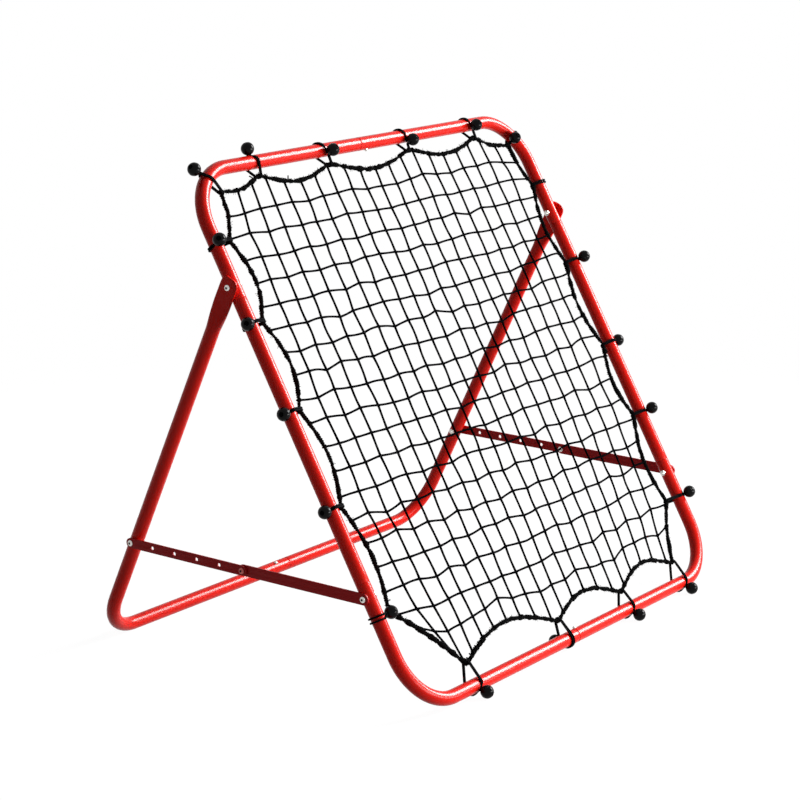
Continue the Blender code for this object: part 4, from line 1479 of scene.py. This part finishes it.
# The net's knots: the edge ones sit on the rope, and the others draw each other even
def netKnots():
    n = netSizes["meshes"]
    grid = np.zeros((n + 1, n + 1, 3))
    for i in range(n + 1):
        grid[i, n] = borderPoint(meshPosition(i))
        grid[n, i] = borderPoint(meshPosition(2 * n - i))
        grid[i, 0] = borderPoint(meshPosition(3 * n - i))
        grid[0, i] = borderPoint(meshPosition(3 * n + i if i < n else 0))
    a = np.linspace(0, 1, n + 1)[:, None, None]
    b = np.linspace(0, 1, n + 1)[None, :, None]
    mixed = grid[:, :1] * (1 - b) + grid[:, -1:] * b
    mixed = (mixed + grid[:1] * (1 - a) + grid[-1:] * a) / 2
    grid[1:-1, 1:-1] = mixed[1:-1, 1:-1]
    for _ in range(netSizes["relaxing"]):
        around = grid[:-2, 1:-1] + grid[2:, 1:-1] + grid[1:-1, :-2] + grid[1:-1, 2:]
        grid[1:-1, 1:-1] = around / 4
    high, low = netSizes["upStep"]
    for i in range(1, n):
        for k in range(1, n):
            step = (low + (high - low) * k / n) * (1 if (i + k) % 2 else -1)
            grid[i, k] += (
                dice.gauss(0, netSizes["acrossJitter"]),
                dice.gauss(0, netSizes["depthJitter"]),
                dice.gauss(step, netSizes["upJitter"]),
            )
    return grid


def strandPath(start, end, steps, bow):
    lift = np.array([dice.gauss(0, bow), dice.gauss(0, bow * 0.5), dice.gauss(0, bow)])
    shares = np.linspace(0, 1, steps)
    return [start + (end - start) * t + lift * math.sin(math.pi * t) for t in shares]


def randomTurn():
    spin = Matrix.Rotation(dice.uniform(0, math.pi), 3, "Y")
    tilt = netSizes["knotTilt"]
    return spin @ Matrix.Rotation(dice.uniform(-tilt, tilt), 3, "X")


def makeNet(grid):
    n = netSizes["meshes"]
    bundle = newBundle()
    steps = netSizes["twineSteps"]
    ends, waist = netSizes["twineShape"]
    thick = [netSizes["twine"] * (ends - waist * math.sin(math.pi * t)) for t in np.linspace(0, 1, steps)]

    def addLeg(start, end):
        addFibre(bundle, strandPath(start, end, steps, netSizes["bow"]), thick, netSizes["twineSides"])

    for i in range(n + 1):
        for k in range(n + 1):
            if i < n and 0 < k < n:
                addLeg(grid[i, k], grid[i + 1, k])
            if k < n and 0 < i < n:
                addLeg(grid[i, k], grid[i, k + 1])
            if 0 < i < n and 0 < k < n:
                addBlob(bundle, grid[i, k], netSizes["knot"], randomTurn())
    bundlePiece("rebound_net", bundle, twineBlack, "net")


def evenPath(points, step):
    points = np.asarray(points, float)
    lengths = np.concatenate([[0], np.cumsum(np.linalg.norm(np.diff(points, axis=0), axis=1))])
    count = max(8, round(lengths[-1] / step))
    marks = np.linspace(0, lengths[-1], count)
    return np.stack([np.interp(marks, lengths, points[:, axis]) for axis in range(3)], axis=1)


# Random numbers that change slowly along a closed path
def slowDraws(count, every, spread):
    marks = [dice.gauss(0, spread) for _ in range(round(count / every))]
    marks.append(marks[0])
    return np.interp(np.linspace(0, len(marks) - 1, count, endpoint=False), range(len(marks)), marks)


def ropePath():
    points = []
    for index in range(len(ties)):
        length = np.linalg.norm(tieKnots[(index + 1) % len(tieKnots)] - tieKnots[index])
        steps = max(8, round(length / rope["step"]))
        points += [borderPoint(index + i / steps) for i in range(steps)]
    return points


# The core and three laid strands, uneven as the net's edge pulls at them
def addStrands(bundle, path):
    addFibre(bundle, path, rope["radius"] * rope["core"], rope["sides"], closed=True)
    path = evenPath([*path, path[0]], rope["strandStep"])[:-1]
    sides = np.cross(unitRows(np.roll(path, -1, axis=0) - np.roll(path, 1, axis=0)), rearward)
    turns = round(len(path) * rope["strandStep"] / rope["lay"])
    lumpEvery = rope["lumpLength"] / rope["strandStep"]
    path = path + slowDraws(len(path), lumpEvery, rope["wander"])[:, None] * sides
    lumpy = 1 + slowDraws(len(path), lumpEvery, rope["lumpShare"])
    reach = (rope["radius"] + rope["strand"] * rope["strandOut"]) * lumpy
    for start in range(rope["strands"]):
        angles = 2 * math.pi * (start / rope["strands"] + turns * np.arange(len(path)) / len(path))
        swell = reach * (1 + np.array([dice.gauss(0, rope["layScatter"]) for _ in path]))
        strand = path + (swell * np.cos(angles))[:, None] * sides
        strand = strand + (swell * np.sin(angles))[:, None] * rearward
        thick = rope["strand"] * lumpy
        addFibre(bundle, strand, thick, rope["strandSides"], closed=True, lumps=rope["lumps"])
    return path


# Twine wound on beside the rope where it is doubled
def addBunches(bundle):
    steps = rope["bunchSteps"]
    for first, last, extra in rope["bunches"]:
        for start in range(extra):
            strand = []
            for i in range(steps):
                here, step = borderPlace(first + (last - first) * i / (steps - 1))
                angle = 2 * math.pi * (start / extra + i / rope["bunchLay"])
                out = math.cos(angle) * np.cross(step, rearward) + math.sin(angle) * rearward
                reach = rope["radius"] + rope["bunchOut"] + dice.gauss(0, rope["bunchScatter"])
                strand.append(here + out * reach)
            addFibre(bundle, strand, rope["edgeTwine"], rope["twineSides"], lumps=rope["lumps"])


def addHairs(bundle, path):
    for _ in range(rope["hairs"]):
        root = path[dice.randrange(len(path))]
        angle = dice.uniform(0, 2 * math.pi)
        slant = dice.gauss(0, rope["hairSlant"])
        way = np.array([math.cos(angle), slant * 0.5, math.sin(angle)])
        tip = root + way * dice.uniform(*rope["hairReach"])
        hair = strandPath(root, tip, rope["hairSteps"], rope["hairBow"])
        addFibre(bundle, hair, rope["hair"], rope["hairSides"])


# A hitch round the rope at each of the net's edge knots
def addHitches(bundle):
    twineShare, slack = rope["hitchOut"]
    reach = rope["radius"] + rope["edgeTwine"] * twineShare + slack
    steps = rope["hitchSteps"]
    for count in range(4 * netSizes["meshes"]):
        phase = dice.uniform(0, 2 * math.pi)
        here, step = borderPlace(meshPosition(count))
        side = np.cross(step, rearward)
        hitch = []
        for i in range(steps):
            share = i / (steps - 1) - 0.5
            angle = phase + share * rope["hitchTurns"] * 2 * math.pi
            drift = step * share * rope["hitchTurns"] * rope["hitchPitch"]
            hitch.append(here + drift + reach * (math.cos(angle) * side + math.sin(angle) * rearward))
        addFibre(bundle, hitch, rope["hitchRadius"], rope["twineSides"], lumps=rope["hitchLumps"])


def addLooseEnds(bundle):
    for position, across, up in rope["looseEnds"]:
        here = borderPoint(position)
        tip = here + np.array([across, dice.gauss(0, rope["looseScatter"]), up])
        path = strandPath(here, tip, rope["looseSteps"], rope["looseBow"])
        thick = rope["edgeTwine"] * rope["looseThin"]
        addFibre(bundle, path, thick, rope["twineSides"], lumps=rope["looseLumps"])


def makeRope():
    laid = newBundle()
    path = addStrands(laid, ropePath())
    addBunches(laid)
    bundlePiece("edge_rope", laid, ropeBlack, "border_rope")
    trim = newBundle()
    addHairs(trim, path)
    addHitches(trim)
    addLooseEnds(trim)
    bundlePiece("edge_rope_hitches", trim, ropeBlack, "border_rope")


def cross(a, b, c):
    return (b[0] - a[0]) * (c[1] - a[1]) - (b[1] - a[1]) * (c[0] - a[0])


def hullAround(points):
    ordered = sorted(points)
    loop = []
    for run in (ordered, ordered[::-1]):
        chain = []
        for point in run:
            while len(chain) > 1 and cross(chain[-2], chain[-1], point) <= 1e-14:
                chain.pop()
            chain.append(point)
        loop += chain[:-1]
    return loop


# The cord's loop from the ball round tube and rope, as (out, front) points without the ball's
def cordLoop(inset, ball):
    cord = bungee["cord"]
    points = [ball, (-inset - bungee["pastRope"], 0.0)]
    rounds = (
        (bungee["beltSteps"], tubeRadius + fitGap + cord, 0.0),
        (bungee["ropeSteps"], rope["radius"] + fitGap + cord + bungee["ropeSlack"], -inset),
    )
    for steps, radius, centre in rounds:
        for i in range(steps):
            turn = 2 * math.pi * (i + 0.5) / steps
            points.append((centre + radius * math.cos(turn), radius * math.sin(turn)))
    hull = hullAround(points)
    first = hull.index(ball)
    return hull[first + 1:] + hull[:first]


# The line midway between the cord's two strands, as (place, half the way from one to the other)
def cordLine(tie, ball, point, out, along):
    inset = tie["inset"]
    loop = cordLoop(inset, ball)
    marks = [0.0]
    for before, after in zip([ball, *loop], [*loop, ball]):
        marks.append(marks[-1] + math.dist(before, after))
    whole = marks[-1]
    far = marks[1 + min(range(len(loop)), key=lambda i: loop[i][0])]
    beside = bungee["cord"] * bungee["beside"]
    pair = bungee["ownPair"].get(tie["name"], bungee["pair"])
    least, more = bungee["pairAtBall"]
    line = []
    for (o, f), mark in zip(loop, marks[1:]):
        left = (far - mark) if mark <= far else (far - mark) * far / (whole - far)
        apart = smoothStep((o + inset) / inset)
        ways = math.sin(min(1.0, max(-1.0, (far - mark) / bungee["turnLength"])) * math.pi / 2)
        offset = ways * (beside if mark <= far else beside + (tie["spread"] - beside) * apart)
        fade = smoothStep(min(mark, whole - mark) / bungee["fadeLength"])
        shift = offset * fade + tie["pull"] * (left / far) ** 2
        gap = bungee["pair"] + (pair - bungee["pair"]) * apart
        line.append((point + out * o + forward * f + along * shift, gap * (least + more * fade)))
    return line


def ballAngle(stated):
    rise = math.asin((bungee["ball"] - railAxis.z) / bungee["ballFromAxis"])
    if stated == "floorFront":
        return math.pi / 2 - lean + rise
    if stated == "floorRear":
        return -math.pi / 2 - lean - rise
    return math.radians(stated)


# A ball on +z: the cord's mouth below, the knot's recess above, and a faint mould line between
def makeBall(name, place, direction, node):
    r = bungee["ball"]
    mouth, recess, axisHole = bungee["mouth"], bungee["recess"], bungee["axisHole"]
    low, high = math.asin(mouth / r), math.asin(recess / r)
    bottom, top = -r * math.cos(low), r * math.cos(high)
    inside, deep = bottom + bungee["mouthDepth"], top - bungee["recessDepth"]
    rings = [(axisHole, inside), (mouth - 0.0006, inside)]
    rings.append((mouth - 0.0005, bottom + 0.0006))
    steps = bungee["ballSteps"]
    for i in range(steps + 1):
        angle = low + (math.pi - high - low) * i / steps
        rings.append((r * math.sin(angle), -r * math.cos(angle)))
    ridge = bungee["mouldLine"]
    foot, clear = (ridge * share for share in bungee["mouldShare"])
    below = [ring for ring in rings if ring[1] <= -clear]
    above = [ring for ring in rings if ring[1] > clear]
    rings = [*below, (r, -foot), (r + ridge, 0.0), (r, foot), *above]
    rings += [(recess - 0.0004, top - 0.0004), (recess - 0.0007, deep), (axisHole, deep)]
    spin = Matrix.Rotation(dice.uniform(0, 6), 4, "Z")
    matrix = frameMatrix @ Matrix.Translation(place) @ turnTo(direction) @ spin
    points, faces = skinRings(turnedRings(rings, bungee["ballSides"]))
    ball = meshPiece(name, points, faces, matrix, glossBlack, sharp=35)
    finishPiece(ball, "net_frame", node)


# The cord's two strands, from inside the ball's mouth round tube and rope and back into it
def addCord(bundle, line, ballPlace, inwards, along):
    cord = bungee["cord"]
    mouth = ballPlace + inwards * (bungee["ball"] - bungee["mouthDepth"])
    lip = ballPlace + inwards * (bungee["ball"] + bungee["lip"])
    depth = np.cross(inwards, along) * cord * bungee["mouthStrands"]
    for way in (1, -1):
        half = along * way * cord * bungee["mouthStrands"]
        route = [place + along * way * gap for place, gap in line]
        route = [mouth + half + depth, lip + half + depth, *route, lip + half - depth, mouth + half - depth]
        path = evenPath(route, bungee["cordStep"])
        for _ in range(bungee["cordSoftening"]):
            path[1:-1] = path[1:-1] * 0.5 + (path[:-2] + path[2:]) * 0.25
        addFibre(bundle, path, cord, bungee["cordSides"], flat=along)


def addKnot(bundle, ballPlace, outwards, along):
    across = unit(np.cross(outwards, along))
    sideways = np.cross(across, outwards)
    centre = ballPlace + outwards * (bungee["ball"] - bungee["knotDepth"])
    swing, rise = bungee["knotLift"]
    steps = bungee["knotSteps"]
    knot = []
    for i in range(steps):
        turn = 2 * math.pi * bungee["knotTurns"] * i / (steps - 1)
        lift = swing * math.sin(turn * 1.5) + rise
        ring = bungee["knotRadius"] * (math.cos(turn) * across + math.sin(turn) * sideways)
        knot.append(centre + ring + outwards * lift)
    addFibre(bundle, knot, bungee["knotCord"], bungee["cordSides"])


def makeBungee(tie):
    name = tie["name"]
    point, out, along = tieAxes(tie["where"], tie["share"])
    distance = bungee["ownDistance"].get(name, bungee["ballFromAxis"])
    angle = ballAngle(tie["angle"])
    ball = (distance * math.cos(angle), distance * math.sin(angle))
    ballPlace = point + out * ball[0] + forward * ball[1] + along * tie["pull"]
    line = cordLine(tie, ball, point, out, along)
    inwards = unit((line[0][0] + line[-1][0]) / 2 - ballPlace)
    bundle = newBundle()
    addCord(bundle, line, ballPlace, inwards, along)
    addKnot(bundle, ballPlace, -inwards, along)
    bundlePiece(f"bungee_cord_{name}", bundle, cordBlack, f"bungee_{name}")
    makeBall(f"bungee_ball_{name}", ballPlace, -inwards, f"bungee_{name}")


makeNet(netKnots())
print("net made")
makeRope()
print("edge rope made")
for tie in ties:
    makeBungee(tie)
print("bungees made")
